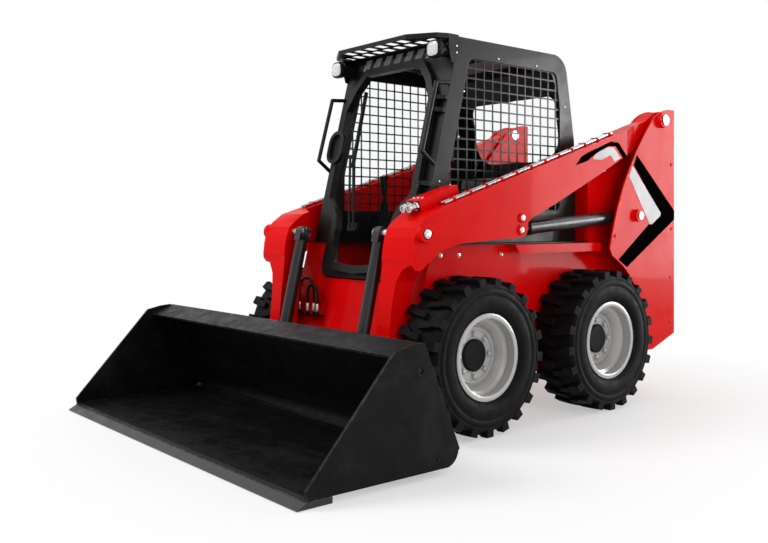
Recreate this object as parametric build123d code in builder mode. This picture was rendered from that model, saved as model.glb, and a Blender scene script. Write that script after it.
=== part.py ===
"""A skid steer loader with a wide bucket: every piece is one solid, or a pair of like solids, in its own STEP file.

Millimetres. +Z is up, the machine faces -Y and its left side is +X. The origin is on the ground in the middle of
the whole machine. Stations (s) run back from the front axle, so a station is a Y less the axle's own Y, and
heights (z) run up from the ground.
"""

from build123d import *
import math
import os

os.makedirs("parts", exist_ok=True)

# ------------------------------------------------------------------ overall
front_reach = 1332.0  # cutting edge ahead of the front axle
rear_reach = 1850.0  # rear door behind the front axle
wheelbase = 980.0
axle_y = (front_reach - rear_reach) / 2  # Y of the front axle, which centres the machine on the origin
clear = 6.0  # between pieces that move past each other
seat_gap = 0.3  # between a piece and the one that carries it
pin_fit = 0.05  # radial running clearance of a pin in its bush

# ------------------------------------------------------------------ wheels
tyre_od = 774.0
tyre_width = 264.0
tyre_shoulder = 30.0  # width of the slope from the tread to the sidewall
tread_r = 362.0  # tread between the lugs
sidewall_r = 349.0  # where the sidewall meets that slope
lug_count = 21  # in each of the two rows
wheel_x = 678.0  # centre plane of a wheel
bead_r = 199.0  # where the tyre sits on the rim
rim_flange_r = 212.0
rim_flange_out = 113.0  # flange's outer face from the wheel's centre plane
rim_wall = 9.0
disc_out = 12.0  # outer face of the wheel disc from the wheel's centre plane
disc_wall = 14.0
disc_step_r = 150.0  # where the disc turns outward to the rim
hub_r = 78.0
hub_cap_out = 26.0  # cap's face from the wheel's centre plane
axle_r = 40.0
flange_r = 120.0  # axle flange that carries the wheel
flange_wall = 18.0

# ------------------------------------------------------------------ chassis tub
tub_x = 530.0  # outer face of the side walls
tub_wall = 10.0
belly_z = 215.0
tub_top_z = 921.0
front_slope = 0.2516  # how far the front runs back for each millimetre up
cab_foot_s = -141.0  # station of the cab's front face at the tub's top edge
cab_top_z = 2010.0
cab_front_s = cab_foot_s + front_slope * (cab_top_z - tub_top_z)  # the same at roof height
cab_x = 455.0  # half the cab's width
panel_low_z = 460.0  # lower edge of the sloping front panel
panel_set_back = 12.0  # front panel behind the cab's front face
belly_front_s = -120.0
tub_back_s = rear_reach - 60.0
tower_low_z = 270.0
fender_x = 604.0
fender_front_s = 410.0
fender_back_s = wheelbase + 170.0
fender_lip = 48.0
chaincase_x = 395.0  # inner face of the chain cases along each side
chaincase_top_z = 640.0

# ------------------------------------------------------------------ towers
tower_x = 672.0  # outer face
tower_wall = 12.0
tower_inner_x = 518.0  # inner face of the inner plate
tower_back_s = rear_reach - 47.0
tower_nose_s = wheelbase + 161.0
tower_span = tower_back_s - tower_nose_s
tower_top_z = 1738.0
arch_r = 490.0  # wheel arch round the rear axle
pivot_s = tower_nose_s + 0.79154 * tower_span
pivot_z = 1666.0
pivot_pin_r = 32.0
lift_base_s = tower_nose_s + 0.39879 * tower_span
lift_base_z = 1080.0
lift_pin_r = 22.0

# ------------------------------------------------------------------ lift arms
arm_x = 649.0  # outer face
arm_inner_x = 539.0  # inner face of the sloping beam
arm_rear_x = 628.0  # outer face where the arm enters the tower
leg_inner_x = 429.0
leg_outer_x = 524.0
leg_top_z = 1004.0
leg_top_s = -348.0  # front face of the leg at that height
leg_slope = 0.106  # how far the leg's front runs forward for each millimetre down
leg_depth = 122.0
lift_eye_s = 395.0
lift_eye_z = 1000.0
hinge_s = -350.0  # bucket hinge
hinge_z = 172.0
hinge_eye_r = 58.0
hinge_pin_r = 22.0
tilt_top_s = -300.0  # upper pin of the tilt cylinders
tilt_top_z = 984.0
tilt_low_s = -458.0  # lower pin of the tilt cylinders
tilt_low_z = 298.0
tilt_x = 341.0
lift_x = 594.0

# ------------------------------------------------------------------ cylinders
lift_barrel_r = 36.0
lift_rod_r = 20.0
tilt_barrel_r = 33.0
tilt_rod_r = 17.0
eye_r = 34.0
eye_half = 26.0  # half the width of a cylinder's eye

# ------------------------------------------------------------------ bucket
bucket_half = 1115.0
bucket_plate = 12.0
bucket_skin = 10.0
edge_wall = 26.0
edge_low_z = 3.0
bucket_low_z = edge_low_z + edge_wall


def side(x):
    """Plane across the machine at x: its own x is the station, its own y the height, and it faces +X."""
    return Plane(origin=(x, axle_y, 0), x_dir=(0, 1, 0), z_dir=(1, 0, 0))


def cab_front(z):
    """Station of the cab's sloping front face at height z."""
    return cab_front_s - front_slope * (cab_top_z - z)


def leg_front(z):
    """Station of a leg's front face at height z."""
    return leg_top_s - leg_slope * (leg_top_z - z)


# ================================================================== wheels
# One wheel is made on the machine's left about its own centre and is then placed four times.
tyre_r = tyre_od / 2
half_tyre = tyre_width / 2
bead_half = rim_flange_out - rim_wall - seat_gap
bead_rise = 34.0  # from the rim's flange up to the tyre's widest place
wheel_places = {
    # name: (side, station)
    "front_left": (1, 0.0),
    "front_right": (-1, 0.0),
    "rear_left": (1, wheelbase),
    "rear_right": (-1, wheelbase),
}

lug_reach = 42.0  # the end of a lug from its own middle, round the tyre
lug_top_r = math.sqrt(tyre_r**2 - lug_reach**2)
lug_out = half_tyre - 3.0
facet_count = 2 * lug_count
tyre_sections = [
    (-half_tyre, sidewall_r),
    (-half_tyre + tyre_shoulder, tread_r),
    (half_tyre - tyre_shoulder, tread_r),
    (half_tyre, sidewall_r),
]

with BuildPart() as tyre_blank:
    for (low_x, low_r), (high_x, high_r) in zip(tyre_sections, tyre_sections[1:]):
        with BuildSketch(Plane.YZ.offset(low_x)):
            RegularPolygon(low_r, facet_count)
        with BuildSketch(Plane.YZ.offset(high_x)):
            RegularPolygon(high_r, facet_count)
        loft()
    # two staggered rows of lugs, one on each flat of the tread
    for lug in range(facet_count):
        turn = 2 * math.pi * (lug + 0.5) / facet_count
        row = 1 if lug % 2 else -1
        lug_plane = Plane(origin=(0, 0, 0), x_dir=(row, 0, 0), z_dir=(0, math.cos(turn), math.sin(turn)))
        with BuildSketch(lug_plane.offset(sidewall_r - 12)):
            with BuildLine():
                Polyline(
                    (-10, -row * lug_reach),
                    (lug_out, -row * 22),
                    (lug_out, row * 25),
                    (-10, -row * 8),
                    close=True,
                )
            make_face()
        extrude(amount=lug_top_r - sidewall_r + 12)
    # room for the rim, with a sloping seat for each of its flanges
    for hand in (1, -1):
        with BuildSketch(Plane.YZ.offset(hand * bead_half)):
            RegularPolygon(rim_flange_r + seat_gap, lug_count, major_radius=False)
        with BuildSketch(Plane.YZ.offset(hand * half_tyre)):
            RegularPolygon(rim_flange_r + bead_rise, lug_count, major_radius=False)
        loft(mode=Mode.SUBTRACT)
    with BuildSketch(Plane.YZ.offset(-half_tyre)):
        RegularPolygon(bead_r + seat_gap, lug_count, major_radius=False)
    extrude(amount=tyre_width, mode=Mode.SUBTRACT)

with BuildPart() as rim_blank:
    with BuildSketch(Plane.XY):
        with BuildLine():
            Polyline(
                (rim_flange_out, rim_flange_r),
                (rim_flange_out - rim_wall, rim_flange_r),
                (rim_flange_out - rim_wall, bead_r),
                (-rim_flange_out + rim_wall, bead_r),
                (-rim_flange_out + rim_wall, rim_flange_r),
                (-rim_flange_out, rim_flange_r),
                (-rim_flange_out, bead_r - rim_wall),
                (disc_out - disc_wall, bead_r - rim_wall),
                (disc_out - disc_wall, axle_r + pin_fit),
                (disc_out + seat_gap, axle_r + pin_fit),
                (disc_out + seat_gap, 0),
                (hub_cap_out, 0),
                (hub_cap_out, hub_r - 8),
                (hub_cap_out - 6, hub_r),
                (disc_out, hub_r),
                (disc_out, disc_step_r),
                (disc_out + 40, disc_step_r + 22),
                (disc_out + 50, bead_r - rim_wall),
                (rim_flange_out, bead_r - rim_wall),
                close=True,
            )
        make_face()
    revolve(axis=Axis.X)

for place, (hand, station) in wheel_places.items():
    centre = Location((hand * wheel_x, axle_y + station, tyre_r))
    for blank, word in ((tyre_blank, "tyre"), (rim_blank, "rim")):
        with BuildPart() as placed:
            solid = blank.part if hand > 0 else mirror(blank.part, about=Plane.YZ, mode=Mode.PRIVATE)
            add(solid.moved(centre))
        placed.part.label = f"{word}_{place}"
        export_step(placed.part, f"parts/{word}_{place}.step")


# ================================================================== chassis
hood_top_z = 1292.0
hood_wall = 14.0
bay_front_s = 1118.0  # bulkhead behind the cab
bay_x = tower_inner_x - clear
hood_hinge_s = bay_front_s - 7
hood_hinge_z = hood_top_z - 8
hood_hinge_r = 6.0
hood_hinge_pin_r = 3.0
hood_hinge_x = 330.0
hood_hinge_half = 25.0
panel_low_s = cab_front(panel_low_z) + panel_set_back
panel_top_s = cab_front(tub_top_z) + panel_set_back
tub_outline = [
    (panel_top_s, tub_top_z),
    (panel_low_s, panel_low_z),
    (belly_front_s, belly_z),
    (tub_back_s - 160, belly_z),
    (tub_back_s, belly_z + 110),
    (tub_back_s, tub_top_z),
]
door_notch_x = 352.0  # half the notch that the cab's front drops into
door_notch_z = 728.0
notch_corner = 60.0

with BuildPart() as main_frame:
    with BuildSketch(side(-tub_x)):
        with BuildLine():
            Polyline(*tub_outline, close=True)
        make_face()
    extrude(amount=2 * tub_x)
    # the inside, open at the top and at the back
    with BuildSketch(side(-tub_x + tub_wall)):
        with BuildLine():
            Polyline(*tub_outline, close=True)
        make_face()
        offset(amount=-tub_wall, kind=Kind.INTERSECTION)
    extrude(amount=2 * (tub_x - tub_wall), mode=Mode.SUBTRACT)
    with BuildSketch(side(-tub_x + tub_wall)):
        with BuildLine():
            Polyline(
                (panel_top_s + tub_wall, tub_top_z - tub_wall - 1),
                (panel_top_s + tub_wall, tub_top_z + 1),
                (tub_back_s + 1, tub_top_z + 1),
                (tub_back_s + 1, belly_z + 110 + 2 * tub_wall),
                (tub_back_s - tub_wall - 1, belly_z + 110 + 2 * tub_wall),
                (tub_back_s - tub_wall - 1, tub_top_z - tub_wall - 1),
                close=True,
            )
        make_face()
    extrude(amount=2 * (tub_x - tub_wall), mode=Mode.SUBTRACT)
    # notch for the lower part of the cab's front
    with BuildSketch(Plane.XZ.offset(-(axle_y + panel_low_s) + 40)):
        with Locations((0, tub_top_z)):
            RectangleRounded(2 * door_notch_x, 2 * (tub_top_z - door_notch_z), notch_corner)
    extrude(amount=-400, mode=Mode.SUBTRACT)
    # chain cases along both sides, which carry the axles
    for hand in (1, -1):
        low_x, high_x = sorted((hand * chaincase_x, hand * (tub_x - tub_wall / 2)))
        with BuildSketch(side(low_x)):
            with BuildLine():
                Polyline(
                    (belly_front_s + 60, belly_z + tub_wall / 2),
                    (belly_front_s + 60, chaincase_top_z),
                    (wheelbase + 170, chaincase_top_z),
                    (wheelbase + 170, belly_z + tub_wall / 2),
                    close=True,
                )
            make_face()
        extrude(amount=high_x - low_x)
        # fender shelf with its turned-down lip
        shelf_low, shelf_high = sorted((hand * (tub_x - tub_wall / 2), hand * fender_x))
        with BuildSketch(side(shelf_low)):
            with BuildLine():
                Polyline(
                    (fender_front_s, tub_top_z),
                    (fender_front_s, tub_top_z - tub_wall),
                    (fender_back_s, tub_top_z - tub_wall),
                    (fender_back_s, tub_top_z),
                    close=True,
                )
            make_face()
        extrude(amount=shelf_high - shelf_low)
        lip_low, lip_high = sorted((hand * (fender_x - tub_wall / 2), hand * fender_x))
        with BuildSketch(side(lip_low)):
            with BuildLine():
                Polyline(
                    (fender_front_s, tub_top_z - 1),
                    (fender_front_s + 30, tub_top_z - fender_lip),
                    (fender_back_s, tub_top_z - fender_lip),
                    (fender_back_s, tub_top_z - 1),
                    close=True,
                )
            make_face()
        extrude(amount=lip_high - lip_low)
    # bulkhead between cab and engine, with the hood's hinge lugs on its upper edge
    bulkhead_top_z = hood_top_z - hood_wall - clear
    with BuildSketch(Plane.XZ.offset(-(axle_y + bay_front_s))):
        with Locations((0, (belly_z + tub_top_z) / 2)):
            Rectangle(2 * tub_x - tub_wall, tub_top_z - belly_z)
        with Locations((0, (tub_top_z + bulkhead_top_z) / 2 - 1)):
            Rectangle(2 * bay_x, bulkhead_top_z - tub_top_z + 2)
    extrude(amount=-tub_wall)
    for hand in (1, -1):
        for lug_x in (hand * hood_hinge_x - hood_hinge_half - 13, hand * hood_hinge_x + hood_hinge_half + 1):
            with BuildSketch(side(lug_x)):
                with BuildLine():
                    Polyline(
                        (bay_front_s - hood_hinge_r - 7, hood_hinge_z),
                        (bay_front_s - hood_hinge_r - 7, bulkhead_top_z - 50),
                        (bay_front_s + 1, bulkhead_top_z - 50),
                        (bay_front_s + 1, bulkhead_top_z),
                        (hood_hinge_s, bulkhead_top_z),
                        (hood_hinge_s + hood_hinge_r - 1, hood_hinge_z),
                        close=True,
                    )
                make_face()
                with Locations((hood_hinge_s, hood_hinge_z)):
                    Circle(hood_hinge_r)
            extrude(amount=12)
        with BuildSketch(side(hand * hood_hinge_x - hood_hinge_half - 3)):
            with Locations((hood_hinge_s, hood_hinge_z)):
                Circle(hood_hinge_pin_r)
        extrude(amount=2 * hood_hinge_half + 6)
main_frame.part.label = "main_frame"
export_step(main_frame.part, "parts/main_frame.step")

# Axle stubs, each with the flange that carries its wheel. They stand on the chain cases' outer faces.
wheel_back_x = wheel_x + disc_out - disc_wall  # inner face of the wheel disc
with BuildPart() as axles:
    for hand, station in wheel_places.values():
        start = hand * (tub_x + seat_gap)
        stub = wheel_back_x - seat_gap - tub_x - seat_gap
        with BuildSketch(Plane(origin=(start, axle_y + station, tyre_r), x_dir=(0, 1, 0), z_dir=(hand, 0, 0))):
            Circle(axle_r + 22)
        extrude(amount=stub - flange_wall + 1)
        with BuildSketch(
            Plane(origin=(start + hand * (stub - flange_wall), axle_y + station, tyre_r),
                  x_dir=(0, 1, 0), z_dir=(hand, 0, 0))
        ):
            Circle(flange_r)
        extrude(amount=flange_wall)
        with BuildSketch(
            Plane(origin=(start + hand * stub, axle_y + station, tyre_r), x_dir=(0, 1, 0), z_dir=(hand, 0, 0))
        ):
            Circle(axle_r)
        extrude(amount=disc_wall)
axles.part.label = "axles"
export_step(axles.part, "parts/axles.step")

# ================================================================== towers
# Outer plate, inner plate standing on the tub's wall, and the web across the back.
arch_start_s = wheelbase + 241.0
arch_start_z = tyre_r + math.sqrt(arch_r**2 - (arch_start_s - wheelbase) ** 2)
arch_end_s = wheelbase + math.sqrt(arch_r**2 - (tower_low_z - tyre_r) ** 2)
arch_middle = math.radians(22)
boss_out = 26.0  # round boss outside each pin's bore
boss_wall = 15.0
tower_heel_z = 352.0  # where the chamfered lower edge meets the back edge
tower_toe_s = arch_end_s + 0.329 * (tower_back_s - arch_end_s)
tower_nose_z = 890.0


rear_hinge_x = 519.0
rear_hinge_s = rear_reach - 10.0
rear_hinge_r = 9.0
rear_hinge_pin_r = 4.5
rear_hinge_half = 22.0
rear_hinge_z = (500.0, 1060.0)


def tower_outline(low_s, low_z):
    """The towers' upper outline from the nose at (low_s, low_z) round to the top of the back edge."""
    brow = (low_s + 0.668 * tower_span, tower_top_z - 67)
    peak = (low_s + 0.908 * tower_span, tower_top_z)
    ThreePointArc((low_s, low_z), (low_s + 0.245 * tower_span, low_z + 415), brow)
    ThreePointArc(brow, (low_s + 0.772 * tower_span, tower_top_z - 26), peak)
    Line(peak, (tower_back_s, tower_top_z))


with BuildPart() as towers:
    for hand in (1, -1):
        outer_low, outer_high = sorted((hand * (tower_x - tower_wall), hand * tower_x))
        with BuildSketch(side(outer_low)):
            with BuildLine():
                tower_outline(tower_nose_s, tower_nose_z)
                Polyline(
                    (tower_back_s, tower_top_z),
                    (tower_back_s, tower_heel_z),
                    (tower_toe_s, tower_low_z),
                    (arch_end_s, tower_low_z),
                )
                ThreePointArc(
                    (arch_end_s, tower_low_z),
                    (wheelbase + arch_r * math.cos(arch_middle), tyre_r + arch_r * math.sin(arch_middle)),
                    (arch_start_s, arch_start_z),
                )
                Polyline((arch_start_s, arch_start_z), (tower_nose_s + 24, 846), (tower_nose_s, tower_nose_z))
            make_face()
        extrude(amount=tower_wall)
        inner_low, inner_high = sorted((hand * tower_inner_x, hand * (tower_inner_x + tower_wall)))
        with BuildSketch(side(inner_low)):
            with BuildLine():
                tower_outline(tower_nose_s, tub_top_z + seat_gap + 8)
                Polyline(
                    (tower_back_s, tower_top_z),
                    (tower_back_s, tub_top_z + seat_gap),
                    (tower_nose_s, tub_top_z + seat_gap),
                    (tower_nose_s, tub_top_z + seat_gap + 8),
                )
            make_face()
            # the inner plate runs forward beside the hood, down to the bulkhead
            with BuildLine():
                Polyline(
                    (bay_front_s + 2, tub_top_z + seat_gap),
                    (bay_front_s + 2, hood_top_z + 8),
                    (bay_front_s + 62, hood_top_z + 53),
                    (tower_nose_s + 0.25 * tower_span, hood_top_z + 53),
                    (tower_nose_s + 0.25 * tower_span, tub_top_z + seat_gap),
                    close=True,
                )
            make_face()
        extrude(amount=tower_wall)
        web_in = tub_x + seat_gap
        with BuildSketch(Plane(origin=(0, axle_y + tower_back_s, 0), x_dir=(1, 0, 0), z_dir=(0, -1, 0))):
            with BuildLine():
                Polyline(
                    (hand * tower_inner_x, tower_top_z),
                    (hand * (tower_x - 1), tower_top_z),
                    (hand * (tower_x - 1), tower_heel_z),
                    (hand * web_in, tower_heel_z),
                    (hand * web_in, tub_top_z + seat_gap),
                    (hand * tower_inner_x, tub_top_z + seat_gap),
                    close=True,
                )
            make_face()
        extrude(amount=tower_wall)
        # bores for the arm's pivot pin and the lift cylinder's pin
        for bore_s, bore_z, bore_r in (
            (pivot_s, pivot_z, pivot_pin_r),
            (lift_base_s, lift_base_z, lift_pin_r),
        ):
            facing = Plane(origin=(0, axle_y + bore_s, bore_z), x_dir=(0, 1, 0), z_dir=(hand, 0, 0))
            with BuildSketch(facing.offset(tower_x - 1)):
                Circle(bore_r + boss_wall)
            extrude(amount=boss_out + 1)
            with BuildSketch(facing.offset(tower_inner_x - 1)):
                Circle(bore_r + seat_gap)
            extrude(amount=tower_x + boss_out - tower_inner_x + 2, mode=Mode.SUBTRACT)
    # fixed halves of the rear door's hinges, on the left tower's web
    for hinge_at in rear_hinge_z:
        for lug_z in (hinge_at - rear_hinge_half - 19, hinge_at + rear_hinge_half + 1):
            with BuildSketch(Plane.XY.offset(lug_z)):
                with BuildLine():
                    Polyline(
                        (rear_hinge_x - 4, axle_y + rear_hinge_s),
                        (rear_hinge_x + 8, axle_y + rear_hinge_s + 4),
                        (tub_x + 34, axle_y + tower_back_s - 1),
                        (tub_x + 3, axle_y + tower_back_s - 1),
                        close=True,
                    )
                make_face()
                with Locations((rear_hinge_x, axle_y + rear_hinge_s)):
                    Circle(rear_hinge_r)
            extrude(amount=18)
        with BuildSketch(Plane.XY.offset(hinge_at - rear_hinge_half - 3)):
            with Locations((rear_hinge_x, axle_y + rear_hinge_s)):
                Circle(rear_hinge_pin_r)
        extrude(amount=2 * rear_hinge_half + 6)
towers.part.label = "towers"
export_step(towers.part, "parts/towers.step")

# Pins held by the towers, which end just outside their bosses.
pin_out = 7.0
with BuildPart() as tower_pins:
    for hand in (1, -1):
        for pin_s, pin_z, pin_r in (
            (pivot_s, pivot_z, pivot_pin_r),
            (lift_base_s, lift_base_z, lift_pin_r),
        ):
            facing = Plane(origin=(0, axle_y + pin_s, pin_z), x_dir=(0, 1, 0), z_dir=(hand, 0, 0))
            with BuildSketch(facing.offset(tower_inner_x - 4)):
                Circle(pin_r)
            extrude(amount=tower_x - tower_inner_x + boss_out + pin_out + 4)
tower_pins.part.label = "tower_pins"
export_step(tower_pins.part, "parts/tower_pins.step")

# ================================================================== engine bay
hood_back_s = tower_back_s
hood_rim = 60.0
with BuildPart() as hood:
    with BuildSketch(side(-bay_x)):
        with BuildLine():
            Polyline(
                (bay_front_s, hood_top_z),
                (bay_front_s, hood_top_z - hood_wall),
                (hood_back_s - hood_wall, hood_top_z - hood_wall),
                (hood_back_s - hood_wall, hood_top_z - hood_rim),
                (hood_back_s, hood_top_z - hood_rim),
                (hood_back_s, hood_top_z),
                close=True,
            )
        make_face()
    extrude(amount=2 * bay_x)
    for hand in (1, -1):
        with BuildSketch(side(min(hand * bay_x, hand * (bay_x - hood_wall)))):
            with BuildLine():
                Polyline(
                    (bay_front_s + 30, hood_top_z - 1),
                    (bay_front_s + 30, hood_top_z - hood_rim),
                    (hood_back_s - 1, hood_top_z - hood_rim),
                    (hood_back_s - 1, hood_top_z - 1),
                    close=True,
                )
            make_face()
        extrude(amount=hood_wall)
        # hinge barrel on the hood's front edge
        with BuildSketch(side(hand * hood_hinge_x - hood_hinge_half)):
            with BuildLine():
                Polyline(
                    (hood_hinge_s, hood_hinge_z - hood_hinge_r + 1),
                    (hood_hinge_s, hood_hinge_z + hood_hinge_r),
                    (bay_front_s + 1, hood_hinge_z + hood_hinge_r),
                    (bay_front_s + 1, hood_hinge_z - hood_hinge_r + 1),
                    close=True,
                )
            make_face()
            with Locations((hood_hinge_s, hood_hinge_z)):
                Circle(hood_hinge_r)
                Circle(hood_hinge_pin_r + pin_fit, mode=Mode.SUBTRACT)
        extrude(amount=2 * hood_hinge_half)
hood.part.label = "hood"
export_step(hood.part, "parts/hood.step")

engine_size = (620.0, tower_back_s - bay_front_s - 225.0, 640.0)
engine_centre_s = bay_front_s + 47.0 + engine_size[1] / 2
with BuildPart() as engine_block:
    with BuildSketch(Plane.XY.offset(belly_z + tub_wall + seat_gap)):
        with Locations((0, axle_y + engine_centre_s)):
            Rectangle(engine_size[0], engine_size[1])
    extrude(amount=engine_size[2])
engine_block.part.label = "engine_block"
export_step(engine_block.part, "parts/engine_block.step")

# Rear door: a shallow pan hinged on the machine's left, with louvres.
rear_door_wall = 6.0
rear_door_low_z = 350.0
rear_door_top_z = hood_top_z - hood_rim - clear
rear_door_x = tower_inner_x - 14
rear_door_front_s = tower_back_s + clear
louvre_count = 9
with BuildPart() as rear_door:
    with BuildSketch(Plane(origin=(0, axle_y + rear_door_front_s, 0), x_dir=(-1, 0, 0), z_dir=(0, 1, 0))):
        with Locations((0, (rear_door_low_z + rear_door_top_z) / 2)):
            RectangleRounded(2 * rear_door_x, rear_door_top_z - rear_door_low_z, 40)
    extrude(amount=rear_reach - rear_door_front_s)
    with BuildSketch(Plane(origin=(0, axle_y + rear_door_front_s, 0), x_dir=(-1, 0, 0), z_dir=(0, 1, 0))):
        with Locations((0, (rear_door_low_z + rear_door_top_z) / 2)):
            RectangleRounded(
                2 * (rear_door_x - rear_door_wall),
                rear_door_top_z - rear_door_low_z - 2 * rear_door_wall,
                40 - rear_door_wall,
            )
    extrude(amount=rear_reach - rear_door_front_s - rear_door_wall, mode=Mode.SUBTRACT)
    with BuildSketch(Plane(origin=(0, axle_y + rear_reach - 20, 0), x_dir=(-1, 0, 0), z_dir=(0, 1, 0))):
        with Locations((0, (rear_door_low_z + rear_door_top_z) / 2 + 62)):
            with GridLocations(0, 54, 1, louvre_count):
                SlotOverall(620, 26)
    extrude(amount=30, mode=Mode.SUBTRACT)
    for hinge_at in rear_hinge_z:
        with BuildSketch(Plane.XY.offset(hinge_at - rear_hinge_half)):
            with BuildLine():
                Polyline(
                    (rear_door_x - 2, axle_y + rear_hinge_s - 6),
                    (rear_hinge_x, axle_y + rear_hinge_s - 6),
                    (rear_hinge_x, axle_y + rear_hinge_s + 6),
                    (rear_door_x - 2, axle_y + rear_hinge_s + 6),
                    close=True,
                )
            make_face()
            with Locations((rear_hinge_x, axle_y + rear_hinge_s)):
                Circle(rear_hinge_r)
                Circle(rear_hinge_pin_r + pin_fit, mode=Mode.SUBTRACT)
        extrude(amount=2 * rear_hinge_half)
rear_door.part.label = "rear_door"
export_step(rear_door.part, "parts/rear_door.step")

# ================================================================== cab
# The cab's front face slopes; front_face.offset(n) lies n ahead of it and its own y runs up the slope.
slope_length = math.sqrt(1 + front_slope**2)
front_face = Plane(
    origin=(0, axle_y + cab_front_s, cab_top_z), x_dir=(1, 0, 0), z_dir=(0, -1, front_slope)
)


def up(z):
    """Place up the sloping front face, from the roof, of a point at height z."""
    return (z - cab_top_z) * slope_length


cab_wall = 6.0
cab_base_z = tub_top_z + seat_gap
cab_base_wall = 8.0
cab_back_s = 1100.0
cab_back_top_s = 1006.0
cab_corner_r = 120.0
post_depth = 30.0
window_front_s = 110.0  # side window behind the cab's front edge
window_low_z = 1105.0
window_top_z = cab_top_z - 105.0
window_back_s = 948.0
window_corner = 45.0
rear_window_x = 392.0
rear_window_low_z = 1330.0
rear_window_top_z = cab_top_z - 215.0
cab_waist_s = 1090.0  # the back's kink between its upper and lower slope
cab_waist_z = 1525.0
cab_hip_z = 1300.0  # where the lower slope ends
surround_low_z = door_notch_z + 8
surround_low_x = door_notch_x - clear
doorway_inset = 14.0  # doorway's edge inside the door's outer edge
door_half = 392.0
door_low_z = 756.0
door_top_z = cab_top_z - 98.0
door_points = [
    # half of the door's outer edge as (across, height), from the middle of its foot round to the middle of its top
    (0.0, door_low_z),
    (184.0, door_low_z + 14),
    (226.0, door_low_z + 46),
    (247.0, door_low_z + 85),
    (261.0, door_low_z + 125),
    (272.0, door_low_z + 192),
    (274.0, door_low_z + 246),
    (287.0, door_low_z + 300),
    (310.0, door_low_z + 334),
    (349.0, door_low_z + 366),
    (386.0, door_low_z + 398),
    (door_half, door_low_z + 467),
    (door_half, door_top_z - 222),
    (362.0, door_top_z - 169),
    (335.0, door_top_z - 110),
    (240.0, door_top_z),
    (0.0, door_top_z),
]

cab_outline = [
    (cab_front(cab_base_z), cab_base_z),
    (cab_front_s, cab_top_z),
    (cab_back_top_s, cab_top_z),
    (cab_waist_s, cab_waist_z),
    (cab_back_s, cab_hip_z),
    (cab_back_s, cab_base_z),
]

with BuildPart() as cab_shell:
    with BuildSketch(side(-cab_x)) as cab_side:
        with BuildLine():
            Polyline(*cab_outline, close=True)
        make_face()
        fillet(cab_side.vertices().sort_by(lambda v: v.X + v.Y)[-1:], cab_corner_r)
    extrude(amount=2 * cab_x)
    # the flange that rests on the tub's top edges
    with BuildSketch(side(-tub_x)):
        with BuildLine():
            Polyline(
                (panel_top_s, cab_base_z),
                (panel_top_s, cab_base_z + cab_base_wall),
                (cab_back_s, cab_base_z + cab_base_wall),
                (cab_back_s, cab_base_z),
                close=True,
            )
        make_face()
    extrude(amount=2 * tub_x)
    # the lower part of the front, which drops into the tub's notch
    with BuildSketch(front_face) as lower_front:
        with BuildLine():
            Polyline(
                (-surround_low_x, up(surround_low_z)),
                (-surround_low_x, up(cab_base_z + 20)),
                (surround_low_x, up(cab_base_z + 20)),
                (surround_low_x, up(surround_low_z)),
                close=True,
            )
        make_face()
        fillet(lower_front.vertices().sort_by(Axis.Y)[:2], notch_corner + 8)
    extrude(amount=-post_depth)
    # the inside
    with BuildSketch(side(-cab_x + cab_wall)):
        with BuildLine():
            Polyline(
                (cab_front(cab_base_z - 200) + post_depth, cab_base_z - 200),
                (cab_front_s + post_depth, cab_top_z - cab_wall),
                (cab_back_top_s - cab_corner_r + 20, cab_top_z - cab_wall),
                (cab_back_top_s - 22, cab_top_z - 62),
                (cab_back_top_s + 8, cab_top_z - 134),
                (cab_waist_s - cab_wall, cab_waist_z),
                (cab_back_s - cab_wall, cab_hip_z),
                (cab_back_s - cab_wall, cab_base_z - 200),
                close=True,
            )
        make_face()
    extrude(amount=2 * (cab_x - cab_wall), mode=Mode.SUBTRACT)
    # side windows
    with BuildSketch(side(-cab_x - 1)) as side_window:
        with BuildLine():
            Polyline(
                (cab_front(window_low_z) + window_front_s, window_low_z),
                (cab_front(window_top_z) + window_front_s, window_top_z),
                (window_back_s - 22, window_top_z),
                (window_back_s + 8, window_top_z - 205),
                (window_back_s + 8, window_low_z),
                close=True,
            )
        make_face()
        fillet(side_window.vertices(), window_corner)
    extrude(amount=2 * cab_x + 2, mode=Mode.SUBTRACT)
    # rear window
    with BuildSketch(Plane.XZ.offset(-(axle_y + cab_back_top_s - 106))):
        with Locations((0, (rear_window_low_z + rear_window_top_z) / 2)):
            RectangleRounded(2 * rear_window_x, rear_window_top_z - rear_window_low_z, 60)
    extrude(amount=-300, mode=Mode.SUBTRACT)
    # doorway
    with BuildSketch(front_face.offset(1)):
        with BuildLine():
            Polyline(*[(across, up(z)) for across, z in door_points])
            mirror(about=Plane.YZ)
        make_face()
        offset(amount=-doorway_inset, kind=Kind.INTERSECTION)
    extrude(amount=-post_depth - 12, mode=Mode.SUBTRACT)
cab_shell.part.label = "cab_shell"
export_step(cab_shell.part, "parts/cab_shell.step")

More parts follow.
